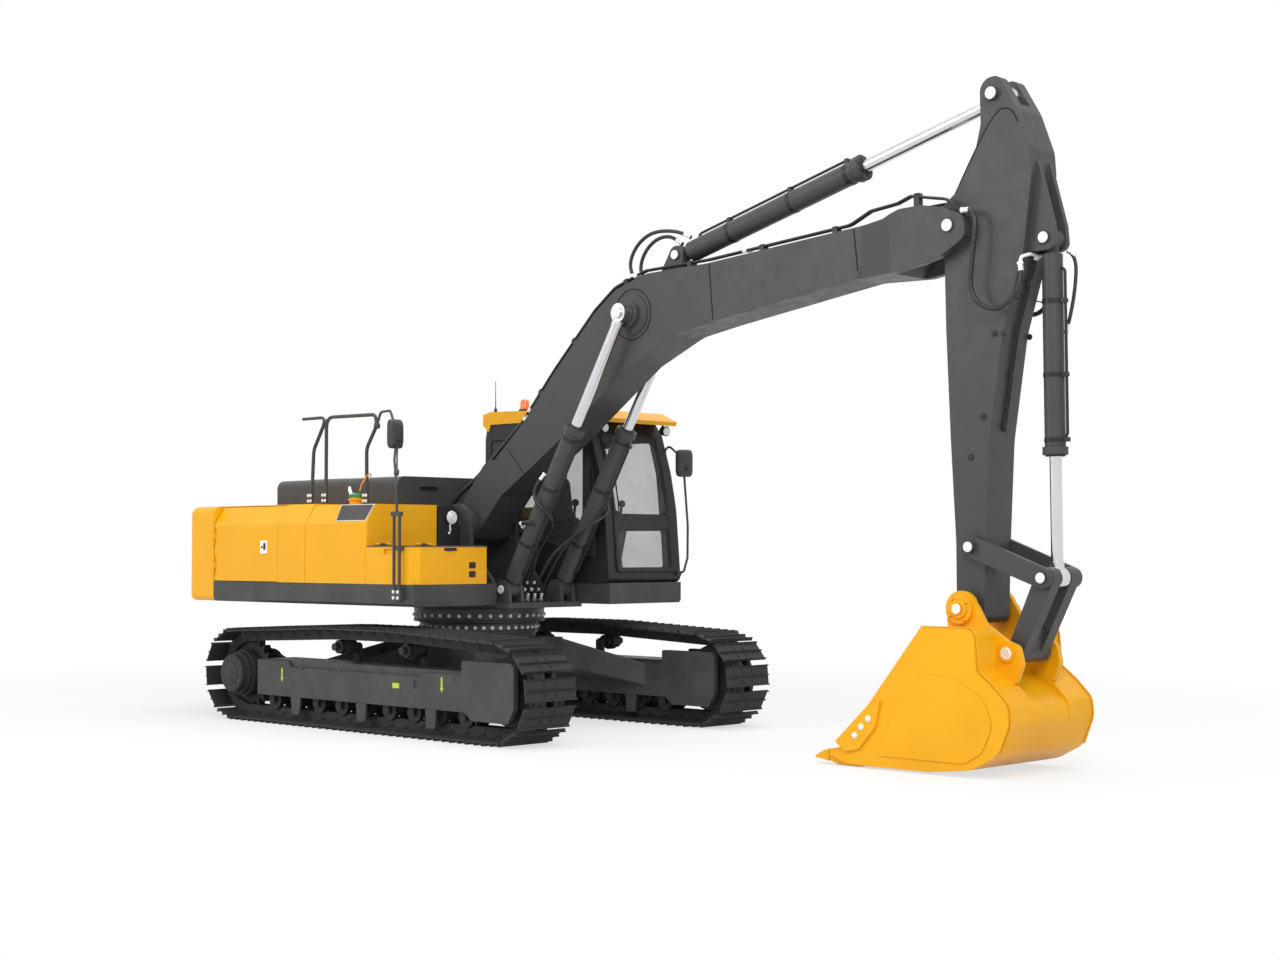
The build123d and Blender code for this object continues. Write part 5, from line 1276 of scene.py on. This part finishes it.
    def mirror(self, name, centre, facing):
        """Mirror head: a soft shell that swells to its front, with the glass let into its rear face."""
        frame = standing(centre, facing)
        sizes = [(0.176, 0.262, -0.030), (0.190, 0.276, -0.024), (0.190, 0.276, 0.004), (0.150, 0.232, 0.026),
                 (0.080, 0.140, 0.034)]
        rings = np.stack([np.c_[soft_rectangle(w, h, 5, 48), np.full(48, depth)] for w, h, depth in sizes])
        new_piece(name, placed(closed_rings(rings), frame), "upper", "rail_grey", 60)
        pane = placed(plate(soft_rectangle(0.168, 0.254, 5, 48), 0.003, 0.001),
                      standing(np.asarray(centre) - unit(facing) * 0.0302, -np.asarray(facing)))
        new_piece(name + "_glass", pane, "upper", "mirror_glass")
        knob = placed(lathe([(0, 0.028), (0.012, 0.026), (0.020, 0.014)], 20),
                      standing(np.asarray(centre) + unit(facing) * 0.030 - (0, 0, 0.05), facing))
        new_piece(name + "_joint", knob, "upper", "black_plastic")


class EXC_OT_cab(bpy.types.Operator):
    """Window rubbers, door furniture, lamps, wiper, aerial and beacon of the cab, and what shows inside"""

    bl_idname = "excavator.cab"
    bl_label = "Cab"

    def execute(self, context):
        front = rounded_line([(1.384, 1.395), (1.311, 2.120), (1.236, 2.490), (1.110, 2.880)], [0, 0.9, 0.9, 0],
                             False, 12)
        self.windscreen(front)
        self.side_rubbers()
        self.furniture()
        self.roof_gear()
        self.inside()
        return {"FINISHED"}

    def windscreen(self, front):
        """Rubber round the front window, the band between its panes and the wiper, on the cab's front line."""
        def at(z, out=0.0):
            """Point on the front line at a height, moved out along its normal."""
            order = np.argsort(front[:, 1])
            x = np.interp(z, front[order, 1], front[order, 0])
            slope = (np.interp(z + 0.02, front[order, 1], front[order, 0]) - x) / 0.02
            normal = unit((1, 0, -slope))
            return np.array([x, 0, z]) + normal * out

        y0, y1, z0, z1 = 0.590, 1.370, 1.510, 2.850
        heights = np.linspace(z0, z1, 24)
        left = [at(z, 0.003) + (0, y0, 0) for z in heights]
        right = [at(z, 0.003) + (0, y1, 0) for z in heights[::-1]]
        loop = rounded_line(np.array(left + right), 0.03, True, 4)
        rubber = along(np.concatenate([loop, loop[:1]]), 0.011, 10)
        new_piece("windscreen_rubber", rubber, "upper", "gasket", 60)
        bands = []
        for low, high in ((1.915, 2.072), (2.790, 2.850), (1.510, 1.545)):
            rows = np.linspace(low, high, 8)
            a, b = y0 + 0.004, y1 - 0.004
            grid = [[at(z, 0.0008) + (0, a, 0), at(z, 0.0008) + (0, b, 0), at(z, 0.0050) + (0, b, 0),
                     at(z, 0.0050) + (0, a, 0)] for z in rows]
            bands.append(closed_rings(np.array(grid)))
        for a, b in ((y0 + 0.004, y0 + 0.030), (y1 - 0.030, y1 - 0.004)):
            grid = [[at(z, 0.0008) + (0, a, 0), at(z, 0.0008) + (0, b, 0), at(z, 0.0040) + (0, b, 0),
                     at(z, 0.0040) + (0, a, 0)] for z in np.linspace(z0 + 0.01, z1 - 0.01, 20)]
            bands.append(closed_rings(np.array(grid)))
        new_piece("windscreen_band", together(*bands), "upper", "gasket", 30)
        arm = [at(2.700, 0.022) + (0, 0.640, 0), at(2.600, 0.026) + (0, 0.645, 0), at(2.150, 0.020) + (0, 0.655, 0)]
        blade = [at(z, 0.011) + (0, 0.655 + 0.01 * math.sin(z * 3), 0) for z in np.linspace(2.10, 2.62, 12)]
        motor = placed(plate(soft_rectangle(0.080, 0.060, 4), 0.028, 0.008),
                       standing(at(2.740, 0.004) + (0, 0.640, 0), (1, 0, 0.32)))
        new_piece("wiper", together(bent(arm, [0, 0.2, 0], 0.006), along(blade, 0.007, 8), motor), "upper",
                  "black_plastic", 60)
        latches = [placed(plate(soft_rectangle(0.050, 0.026, 5), 0.014, 0.004),
                          standing(at(2.085, 0.005) + (0, y, 0), (1, 0, 0.15)))
                   for y in (0.63, 1.33)]
        new_piece("windscreen_latches", together(*latches), "upper", "black_plastic")

    def side_rubbers(self):
        """Rubber tubes round the side and rear windows."""
        rings = []
        for line, y in (
            ([(60, 1900), (1180, 1640), (1150, 2480), (1040, 2850), (60, 2850)], 0.4685),
            ([(-360, 2020), (0, 2020), (0, 2850), (-360, 2850)], 0.4685),
            ([(-360, 1960), (0, 1960), (0, 2850), (-360, 2850)], 1.4915),
        ):
            ring = outline(line, [50] * len(line))
            ring = np.concatenate([ring, ring[:1]])
            rings.append(along(np.stack([ring[:, 0], np.full(len(ring), y), ring[:, 1]], -1), 0.010, 10))
        rear = rounded_line([(0.600, 2.050), (1.360, 2.050), (1.360, 2.780), (0.600, 2.780)], 0.05)
        rear = np.concatenate([rear, rear[:1]])
        rings.append(along(np.stack([np.full(len(rear), -0.4515), rear[:, 0], rear[:, 1]], -1), 0.010, 10))
        new_piece("window_rubbers", together(*rings), "upper", "gasket", 60)
        rings = []
        for line in ([(150, 2010), (1120, 2010), (1070, 2480), (980, 2820), (150, 2820)],
                     [(420, 1520), (1165, 1520), (1135, 1920), (420, 1920)]):
            ring = outline(line, [50] * len(line))
            ring = np.concatenate([ring, ring[:1]])
            rings.append(along(np.stack([ring[:, 0], np.full(len(ring), 1.4915), ring[:, 1]], -1), 0.009, 10))
        new_piece("door_rubbers", together(*rings), "cab_door", "gasket", 60)

    def furniture(self):
        """Door handle and lock, and the front grab handle."""
        grip = placed(plate(soft_rectangle(0.150, 0.052, 5), 0.016, 0.005), standing((1.080, PANEL_SIDE, 1.975), LEFT))
        lock = placed(lathe([(0, 0.012), (0.020, 0.012), (0.022, 0.009)], 20), standing((1.020, 1.5000, 1.975), LEFT))
        new_piece("door_handle", together(grip, lock), "cab_door", "black_plastic")
        rail = bent([(1.300, PANEL_SIDE, 1.640), (1.300, 1.530, 1.660), (1.232, 1.530, 2.050),
                     (1.232, PANEL_SIDE, 2.070)],
                    [0, 0.03, 0.03, 0], 0.011)
        new_piece("cab_grab_rail", rail, "upper", "rail_grey", 60)

    def roof_gear(self):
        """Beacon, aerial and work lamps on the roof."""
        x, y, z = 0.010, 0.600, 3.1372
        base = lathe([(0, 0.064), (0.014, 0.064), (0.020, 0.056), (0.024, 0.056)], 40)
        new_piece("beacon_base", placed(base, standing((x, y, z), UP)), "upper", "black_plastic")
        dome = lathe([(0.024, 0.050), (0.100, 0.047), (0.116, 0.040), (0.124, 0.028), (0.128, 0.012)], 40)
        new_piece("beacon_dome", placed(dome, standing((x, y, z), UP)), "upper", "beacon_amber", 50)
        mast = lathe([(0, 0.018), (0.026, 0.018), (0.034, 0.010), (0.060, 0.005), (0.310, 0.0028), (0.314, 0.0050),
                      (0.320, 0.0040)], 16)
        new_piece("antenna", placed(mast, standing((-0.340, 0.510, 3.1453), UP)), "upper", "black_plastic")
        shells, panes = [], []
        for y in (0.545, 1.415):
            at = standing((1.165, y, 2.925), (1, 0, -0.08))
            shells.append(placed(lathe([(0, 0.026), (0.020, 0.044), (0.070, 0.050), (0.078, 0.052), (0.080, 0.046)],
                                       36), at))
            shells.append(rod((1.190, y, 2.960), (1.190, y, 2.984), 0.012))
            panes.append(placed(lathe([(0.0795, 0.044), (0.084, 0.040), (0.087, 0.026), (0.088, 0.010)], 36), at))
        new_piece("work_lamps", together(*shells), "upper", "black_plastic")
        new_piece("work_lamp_glass", together(*panes), "upper", "lamp_lens", 60)

    def inside(self):
        """Monitor, armrests, lever boots and belt."""
        screen = placed(plate(soft_rectangle(0.190, 0.135, 8), 0.030, 0.006),
                        standing((1.000, 0.600, 2.060), (-0.9, 0.35, 0.1)))
        new_piece("monitor", screen, "upper", "screen")
        stalk = rod((1.010, 0.590, 1.700), (1.010, 0.590, 2.010), 0.012)
        boots = [placed(lathe([(0, 0.045), (0.03, 0.040), (0.035, 0.030), (0.065, 0.026), (0.070, 0.018),
                               (0.095, 0.015)], 24),
                        standing((x, y, 2.000), UP)) for x, y in ((0.690, 0.640), (0.690, 1.300))]
        rests = [placed(plate(soft_rectangle(0.080, 0.300, 4), 0.050, 0.016),
                        standing((0.450, y, 2.020), UP) @ turned_quarter()) for y in (0.655, 1.285)]
        new_piece("cab_controls", together(stalk, *boots, *rests), "upper", "black_plastic", 50)
        belt = strip(spline([(0, 0), (0.02, 0.30), (0.0, 0.62)], 20)[:, ::-1], 0.048, 0.003)
        frame = standing((-0.055, 1.245, 1.980), FRONT)
        new_piece("seat_belt", placed(belt, frame @ turned_quarter()), "upper", "belt_green")


class EXC_OT_boom_trim(bpy.types.Operator):
    """Weld seams drawn as near-black lines of painted shade, hard lines, clamps and boss rings of the boom, and the
    port block at its foot
    """

    bl_idname = "excavator.boom_trim"
    bl_label = "Boom trim"

    def execute(self, context):
        lines = [
            strip([(3.296, 4.236), (3.318, 3.990), (3.340, 3.742)], 0.011, 0.0022),
            strip([(4.905, 4.356), (4.925, 4.180), (4.944, 4.010)], 0.011, 0.0022),
            strip([(0.640, 2.700), (0.780, 2.560), (0.930, 2.400)], 0.008, 0.0022),
        ]
        circle = np.linspace(0, 2 * np.pi, 73)
        ring = np.stack([BOOM_CYL_EYE[0] + 0.232 * np.cos(circle), BOOM_CYL_EYE[1] + 0.232 * np.sin(circle)], -1)
        lines.append(strip(ring[:37], 0.010, 0.0022))
        lines.append(strip(ring[36:], 0.010, 0.0022))
        # Near-black strips along the seams and round the eye boss: painted shade in the gaps between plates.
        frame = standing((0, -BOOM_SIDE, 0), RIGHT)
        seams = [placed(line, frame) for line in lines]
        new_piece("boom_seam_shade", both(together(*seams)), "boom", "painted_shade_black")
        boss = lathe([(0, 0.186), (0.010, 0.186), (0.016, 0.176), (0.030, 0.140), (0.034, 0.130)], 64)
        new_piece("boom_boss_flanges", both(placed(boss, standing((BOOM_CYL_EYE[0], -BOOM_SIDE, BOOM_CYL_EYE[1]),
                                                                  RIGHT))),
                  "boom", "boom_grey")
        self.lines()
        port = together(
            brick(0.600, 0.690, -0.175, 0.175, 1.291, 1.381, 0.006),
            brick(0.560, 0.640, -0.190, 0.190, 1.291, 1.307, 0.003))
        new_piece("port_block", port, "upper", "pipe_grey")
        elbows = []
        for y in (-0.135, -0.045, 0.045, 0.135):
            elbows.append(placed(lathe([(0, 0.024), (0.018, 0.024)], 6), standing((0.690, y, 1.330), FRONT)))
            elbows.append(placed(lathe([(0.018, 0.018), (0.040, 0.018), (0.046, 0.014)], 18),
                                 standing((0.690, y, 1.330), FRONT)))
            elbows.append(placed(lathe([(0, 0.015), (0.030, 0.015)], 6), standing((0.665, y, 1.381), UP)))
        new_piece("port_elbows", together(*elbows), "upper", "zinc")
        return {"FINISHED"}

    def lines(self):
        """Hard lines over the boom's top: its corners moved out along their normals, on clamp blocks."""
        top = np.array([(0.880, 2.960), (1.310, 3.412), (1.858, 3.931), (2.120, 4.115), (2.500, 4.228),
                        (3.266, 4.245), (5.050, 4.380)])

        def over(x, rise):
            """Point above the boom's top plate and the plate's slope there."""
            z = np.interp(x, top[:, 0], top[:, 1])
            i = min(int(np.searchsorted(top[:, 0], x, "right")), len(top) - 1)
            run = unit(top[i] - top[i - 1])
            return np.array([x - rise * run[1], z + rise * run[0]]), run

        tubes, blocks, nuts = [], [], []
        for y, last in ((0.176, None), (0.148, None), (0.122, 2.330)):
            xs = [0.900, 1.308, 1.856, 2.119, 2.499, 3.264, 4.850] if last is None else [0.900, 1.308, 1.856, 2.119,
                                                                                         last]
            run = [(*over(x, 0.036)[0], y) for x in xs]
            run = [(x, -y, z) for x, z, y in run]
            radii = [0] + [0.25] * (len(run) - 1)
            if last is None:
                swing = y + 0.08
                run += [(5.060, -y, 4.492), (5.330, -y, 4.520), (5.520, -swing, 4.545), (5.860, -swing, 4.480),
                        (5.975, -swing, 4.385), (6.014, -swing, 4.368)]
                radii += [0.04, 0.05, 0.06, 0.10, 0.04, 0]
            else:
                radii[-1] = 0
            tubes.append(bent(run, radii, 0.0115))
        for x in (1.120, 1.580, 2.260, 3.050, 3.900, 4.700):
            (px, pz), run = over(x, 0.0)
            wide = x < 2.4
            y0, y1 = (0.100, 0.196) if wide else (0.128, 0.196)
            frame = np.eye(4)
            frame[:3, 0], frame[:3, 1], frame[:3, 2] = (run[0], 0, run[1]), (0, 1, 0), (-run[1], 0, run[0])
            frame[:3, 3] = (px, 0, pz)
            blocks.append(placed(brick(-0.024, 0.024, -y1, -y0, 0.0003, 0.053, 0.005), frame))
            for y in ((-0.162,) if not wide else (-0.162, -0.135)):
                nut = frame.copy()
                nut[:3, 3] = frame[:3, 3] + frame[:3, 1] * y + frame[:3, 2] * 0.053
                nuts.append(placed(bolt(0.010, 0.010), nut))
        blocks.append(brick(5.560, 5.612, -0.268, -0.215, 4.4553, 4.560, 0.004))
        new_piece("boom_hard_lines", both(together(*tubes, *blocks)), "boom", "pipe_grey", 50)
        joints = [placed(lathe([(-0.022, 0.019), (0.022, 0.019)], 6),
                         standing((over(x, 0.036)[0][0], -y, over(x, 0.036)[0][1]),
                                  (*over(x, 0)[1][:1], 0, over(x, 0)[1][1])))
                  for x, y in ((2.380, 0.176), (2.410, 0.148), (3.700, 0.176), (3.730, 0.148), (0.960, 0.176),
                               (0.970, 0.148))]
        new_piece("boom_line_nuts", both(together(*nuts, *joints)), "boom", "zinc", 20)


class EXC_OT_arm_trim(bpy.types.Operator):
    """Seams drawn as near-black lines of painted shade, sensor bosses, hard lines and elbows of the arm"""

    bl_idname = "excavator.arm_trim"
    bl_label = "Arm trim"

    def execute(self, context):
        # Near-black strips along the seams: painted shade in the gaps between plates.
        frame = standing((0, -ARM_SIDE, 0), RIGHT)
        upper = spline([(5.897, 4.526), (6.060, 4.800), (6.180, 4.985), (6.262, 5.085), (6.320, 5.128), (6.376, 5.130),
                        (6.430, 5.098), (6.480, 5.010)], 60)
        lower = [(6.395, 3.665), (6.440, 3.652), (6.480, 3.640)]
        seams = [placed(strip(path, 0.010, 0.0022), frame) for path in (upper, lower)]
        new_piece("arm_seam_shade", both(together(*seams)), "arm", "painted_shade_black")
        bosses = []
        for x, z in ((6.255, 3.390), (6.340, 3.385), (6.150, 2.750), (6.030, 2.440)):
            bosses.append(placed(lathe([(0, 0.024), (0.010, 0.024), (0.014, 0.018)], 24),
                                 standing((x, -ARM_SIDE, z), RIGHT)))
        new_piece("arm_bosses", both(together(*bosses)), "arm", "black_plastic")
        lines, blocks = [], []
        for y in (-0.024, 0.004):
            lines.append(bent([(6.522, y, 3.960), (6.506, y, 3.900), (6.352, y, 3.402), (6.226, y, 2.640)],
                              [0, 0.02, 0.5, 0], 0.009))
        for (x0, z0), (x1, z1), share in (((6.330, 3.400), (6.522, 4.022), 0.62),
                                          ((6.200, 2.570), (6.330, 3.400), 0.62),
                                          ((6.200, 2.570), (6.330, 3.400), 0.14)):
            run = unit((x1 - x0, 0, z1 - z0))
            out = np.cross((0, 1, 0), run)
            at = np.array([x0 + share * (x1 - x0), -0.010, z0 + share * (z1 - z0)])
            block = np.eye(4)
            block[:3, 0], block[:3, 1], block[:3, 2], block[:3, 3] = -run, (0, 1, 0), out, at
            blocks.append(placed(brick(-0.020, 0.020, -0.032, 0.032, 0.0003, 0.034, 0.004), block))
        new_piece("arm_hard_lines", together(*lines, *blocks), "arm", "pipe_grey", 50)
        elbow = bent([(6.500, -0.188, 3.920), (6.505, -0.182, 3.962), (6.540, -0.120, 3.985), (6.545, -0.024, 3.985),
                      (6.522, -0.024, 3.955)],
                     [0, 0.03, 0.05, 0.02, 0], 0.014)
        other = bent([(6.500, 0.188, 3.920), (6.505, 0.182, 3.962), (6.540, 0.120, 3.985), (6.545, 0.004, 3.985),
                      (6.522, 0.004, 3.955)],
                     [0, 0.03, 0.05, 0.02, 0], 0.014)
        new_piece("arm_line_elbows", together(elbow, other), "arm", "zinc", 50)
        return {"FINISHED"}


class EXC_OT_tracks(bpy.types.Operator):
    """Final-drive bolts and caps, tie-down marks, frame bolts and chain links of the tracks"""

    bl_idname = "excavator.tracks"
    bl_label = "Tracks"

    def execute(self, context):
        low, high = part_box("final_drive_right")
        z = (low[2] + high[2]) / 2
        x, face = -2.015, low[1] - 0.0003
        angles = np.linspace(0, 2 * np.pi, 12, endpoint=False)
        ring = [standing((x + 0.150 * math.cos(a), face, z + 0.150 * math.sin(a)), RIGHT) for a in angles]
        heads = placed(bolt(0.012, 0.009), *ring)
        new_piece("final_drive_bolts", both(heads), "undercarriage", "bare_steel", 20)
        cap = lathe([(0, 0.118), (0.004, 0.118), (0.008, 0.108), (0.008, 0.060), (0.011, 0.054)], 48)
        new_piece("final_drive_caps", both(placed(cap, standing((x, face, z), RIGHT))), "undercarriage",
                  "track_steel")
        arrow = [(0, -0.068), (0.026, -0.026), (0.012, -0.026), (0.012, 0.068), (-0.012, 0.068), (-0.012, -0.026),
                 (-0.026, -0.026)]
        plates, marks = [], []
        side = -TRACK_SIDE
        for mark in ((-1.240, 0.480), (1.215, 0.500)):
            at = standing((mark[0], side, mark[1]), RIGHT)
            marks.append(placed(plate(arrow, 0.0012), at))
        marks.append(placed(plate([(-0.050, -0.024), (0.050, -0.024), (0.050, 0.024), (-0.050, 0.024)], 0.0012),
                            standing((0.555, side, 0.462), RIGHT)))
        new_piece("track_marks", both(together(*marks)), "undercarriage", "mark_lime")
        for x in (-0.900, -0.300, 0.300, 1.380):
            plates.append(placed(bolt(0.014, 0.010), standing((x, side, 0.560), RIGHT)))
        new_piece("track_frame_bolts", both(together(*plates)), "undercarriage", "bare_steel", 20)
        self.chains()
        return {"FINISHED"}

    def chains(self):
        """Link bosses, pin ends, link waists and shoe bolts, set on every link of both chains."""
        links = chain_links(CHAIN_LINKS)
        boss = lathe([(0, 0.041), (0.006, 0.041), (0.009, 0.037)], 14)
        pin = lathe([(0.008, 0.019), (0.013, 0.019), (0.014, 0.016)], 10)
        half = CHAIN_PITCH / 2
        waist = plate([(-half + 0.034, -0.022), (-0.030, -0.010), (0.030, -0.010), (half - 0.034, -0.022),
                       (half - 0.030, 0.034), (0.030, 0.050), (-0.030, 0.050), (-half + 0.030, 0.034)], 0.006, 0.002)
        faces, tops = [], []
        for place, run, out in links:
            for y, sign in ((-TRACK_CENTRE - RAIL_FACE, -1), (-TRACK_CENTRE + RAIL_FACE, 1)):
                frame = np.eye(4)
                frame[:3, 0], frame[:3, 1], frame[:3, 2] = run * sign, out, (0, sign, 0)
                frame[:3, 3] = place + (0, y, 0)
                start = frame.copy()
                start[:3, 3] = frame[:3, 3] - run * half
                faces.append((frame, start))
            for along_link in (-0.045, 0.045):
                for y in (-0.066, 0.066):
                    top = np.eye(4)
                    top[:3, 0], top[:3, 1], top[:3, 2] = run, np.cross(out, run), out
                    top[:3, 3] = place + run * along_link + out * PLATE_TOP + (0, y - TRACK_CENTRE, 0)
                    tops.append(top)
        link_sides = together(placed(waist, *[f for f, _ in faces]), placed(boss, *[f for _, f in faces]),
                              placed(pin, *[f for _, f in faces]))
        new_piece("track_links", both(link_sides), "undercarriage", "track_steel", 40)
        new_piece("track_shoe_bolts", both(placed(bolt(0.011, 0.009), *tops)), "undercarriage", "track_steel",
                  20)


class EXC_OT_bucket(bpy.types.Operator):
    """Bucket: wrapped shell with raised shoulders, ears, side cutters, adapters and teeth"""

    bl_idname = "excavator.bucket"
    bl_label = "Bucket"

    def execute(self, context):
        back = [(6640, 420), (6545, 190), (6300, 60), (5900, 20), (5120, 20), (4940, 90), (5030, 125)]
        back_r = [180, 200, 300, 600, 60, 10, 1]
        hollow_back = [(6612, 420), (6522, 208), (6288, 86), (5900, 46), (5126, 46)]
        hollow_back_r = [150, 180, 280, 580, 1]
        top = [(5845, 1120), (6330, 1120), (6352, 800), (6490, 695), (6625, 560)]
        top_r = [1, 90, 40, 300, 130]
        hollow_top = [(5815, 1095), (6306, 1095), (6327, 788), (6472, 676), (6597, 546)]
        hollow_top_r = [1, 70, 60, 280, 110]
        channel = [(5812, 1080), (5850, 1080), (6110, 905), (6400, 690), (6618, 545)]
        channel_r = [1, 20, 200, 260, 130]
        hollow_channel = [(5785, 1055), (5842, 1055), (6096, 883), (6380, 670), (6590, 527)]
        hollow_channel_r = [1, 15, 180, 240, 100]

        def shell(outer, outer_r, inner, inner_r):
            """Wall between an outer and an inner line that both run from the mouth's top to the lip."""
            first = rounded_line(np.array(outer) / 1000, np.array(outer_r) / 1000, False, 10)
            second = rounded_line(np.array(inner) / 1000, np.array(inner_r) / 1000, False, 10)
            ring = np.concatenate([first, second[::-1]])
            x, z = ring.T
            return ring if (x * np.roll(z, -1) - np.roll(x, -1) * z).sum() > 0 else ring[::-1]

        raised = shell(top + back, top_r + back_r, hollow_top + hollow_back, hollow_top_r + hollow_back_r)
        middle = shell(channel + back, channel_r + back_r, hollow_channel + hollow_back,
                       hollow_channel_r + hollow_back_r)
        step = shell(top + back, top_r + back_r, hollow_channel + hollow_back, hollow_channel_r + hollow_back_r)
        side = outline(top + back, top_r + back_r)
        ear_in, ear_out = 0.2395, 0.2845
        ear = outline([(5870, 1190), (6125, 1330), (6230, 1150), (6420, 1028), (6525, 990), (6560, 850), (6500, 700),
                       (6300, 700), (5900, 1000)], [20, 60, 80, 60, 60, 60, 20, 20, 20])
        pad = outline([(5430, 110), (5560, 420), (5760, 690), (5900, 760), (6170, 745), (6420, 600), (6500, 400),
                       (6400, 190), (6240, 105)],
                      [20, 300, 200, 120, 200, 150, 150, 150, 120])
        cutter = outline([(5022, 193), (5363, 511), (5470, 540), (5420, 330), (5260, 150), (5120, 120)],
                         [12, 12, 12, 12, 20, 12])
        walls = [
            slab(middle, -ear_in - 0.001, ear_in + 0.001),
            both(slab(raised, ear_out - 0.001, 0.576)),
            both(slab(side, 0.575, 0.600, 0.003)),
            both(slab(step, ear_in, ear_out)),
            both(slab(ear, ear_in - 0.0008, ear_out + 0.0008, 0.003)),
            both(disc(BUCKET_PIN, 0.140, ear_in - 0.0016, ear_out + 0.0016)),
            both(slab(pad, 0.599, 0.608, 0.004)),
            both(slab(cutter, 0.578, 0.622, 0.005)),
            both(disc(BUCKET_PIN, 0.118, ear_out, 0.3145, 0.004)),
            both(disc(BUCKET_PIN, 0.075, ear_out, 0.3295, 0.004)),
            both(disc(BUCKET_LINK_PIN, 0.070, ear_out, 0.2985, 0.004)),
            disc(BUCKET_PIN, 0.045, -0.262, 0.262),
        ]
        nose = outline([(4925.3, 38), (4925.3, 118), (4990, 140), (5120, 112), (5300, 50), (5300, 25), (5240, 6),
                        (5010, 6)],
                       [4, 10, 20, 20, 6, 6, 10, 10])
        places = np.linspace(-0.525, 0.525, 5)
        walls += [slab(nose, y - 0.048, y + 0.048, 0.004) for y in places]
        bucket = new_piece("bucket_body", together(*walls), "bucket", "bucket_yellow", 30)
        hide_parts("bucket")
        points = [(4.925, 0.054, 0.030, 0.126), (4.868, 0.047, 0.037, 0.110), (4.800, 0.040, 0.045, 0.072),
                  (4.775, 0.035, 0.049, 0.059)]
        rings = np.array([[(x, -w, z0), (x, w, z0), (x, w, z1), (x, -w, z1)] for x, w, z0, z1 in points])[:, ::-1]
        tooth = closed_rings(rings)
        teeth = [placed(tooth, offset_frame(0, y, 0)) for y in places]
        pins = [placed(lathe([(0, 0.012), (0.006, 0.012)], 14), standing((4.985, y - 0.0482, 0.078), RIGHT))
                for y in places]
        wedges = new_piece("bucket_tooth_tips", together(*teeth), "bucket", "bucket_yellow", 25)
        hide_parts("bucket_teeth")
        new_piece("bucket_tooth_pins", together(*pins), "bucket", "bare_steel")
        heads = [standing((x, -0.6223, z), RIGHT) for x, z in ((5.355, 0.393), (5.287, 0.326), (5.223, 0.255))]
        new_piece("side_cutter_bolts", both(placed(bolt(0.020, 0.018), *heads)), "bucket", "zinc", 20)
        turn = np.linspace(0, 2 * np.pi, 4, endpoint=False) + 0.6
        heads = [standing((BUCKET_PIN[0] + 0.096 * math.cos(a), -0.3148, BUCKET_PIN[1] + 0.096 * math.sin(a)),
                          RIGHT) for a in turn]
        new_piece("bucket_boss_bolts", both(placed(bolt(0.012, 0.012), *heads)), "bucket", "bucket_yellow",
                  20)
        self.welds(ear)
        return {"FINISHED"}

    def welds(self, ear):
        """Weld beads where the side plates meet the shell."""
        line = rounded_line(np.array([(5830, 1128), (6334, 1128), (6362, 806), (6496, 703), (6632, 566), (6648, 420),
                                      (6560, 200)]) / 1000,
                            np.array([0, 90, 40, 300, 130, 180, 0]) / 1000, False, 8)
        path = np.stack([line[:, 0], np.full(len(line), -0.5745), line[:, 1]], -1)
        new_piece("bucket_welds", both(along(path, 0.006, 8)), "bucket", "bucket_yellow", 60)


class EXC_PT_panel(bpy.types.Panel):
    """Lists the steps of the dressing"""

    bl_idname = "EXC_PT_panel"
    bl_label = "Crawler Excavator"
    bl_space_type = "VIEW_3D"
    bl_region_type = "UI"
    bl_category = "Excavator"

    def draw(self, context):
        for operator in OPERATORS:
            self.layout.operator(operator.bl_idname)


OPERATORS = (
    EXC_OT_stage, EXC_OT_hoses, EXC_OT_finishes, EXC_OT_seat, EXC_OT_bearing_bolts, EXC_OT_pins,
    EXC_OT_cylinder_ends, EXC_OT_panels, EXC_OT_rails, EXC_OT_cab, EXC_OT_boom_trim, EXC_OT_arm_trim,
    EXC_OT_tracks, EXC_OT_bucket,
)
CLASSES = (PaintSettings, StageSettings, *OPERATORS, EXC_PT_panel)


def register():
    for cls in CLASSES:
        bpy.utils.register_class(cls)
    bpy.types.Scene.exc_paint = bpy.props.PointerProperty(type=PaintSettings)
    bpy.types.Scene.exc_stage = bpy.props.PointerProperty(type=StageSettings)


def unregister():
    del bpy.types.Scene.exc_stage
    del bpy.types.Scene.exc_paint
    for cls in reversed(CLASSES):
        bpy.utils.unregister_class(cls)


def main():
    """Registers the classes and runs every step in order."""
    register()
    for operator in OPERATORS:
        area, name = operator.bl_idname.split(".")
        getattr(getattr(bpy.ops, area), name)()


if __name__ == "__main__":
    main()
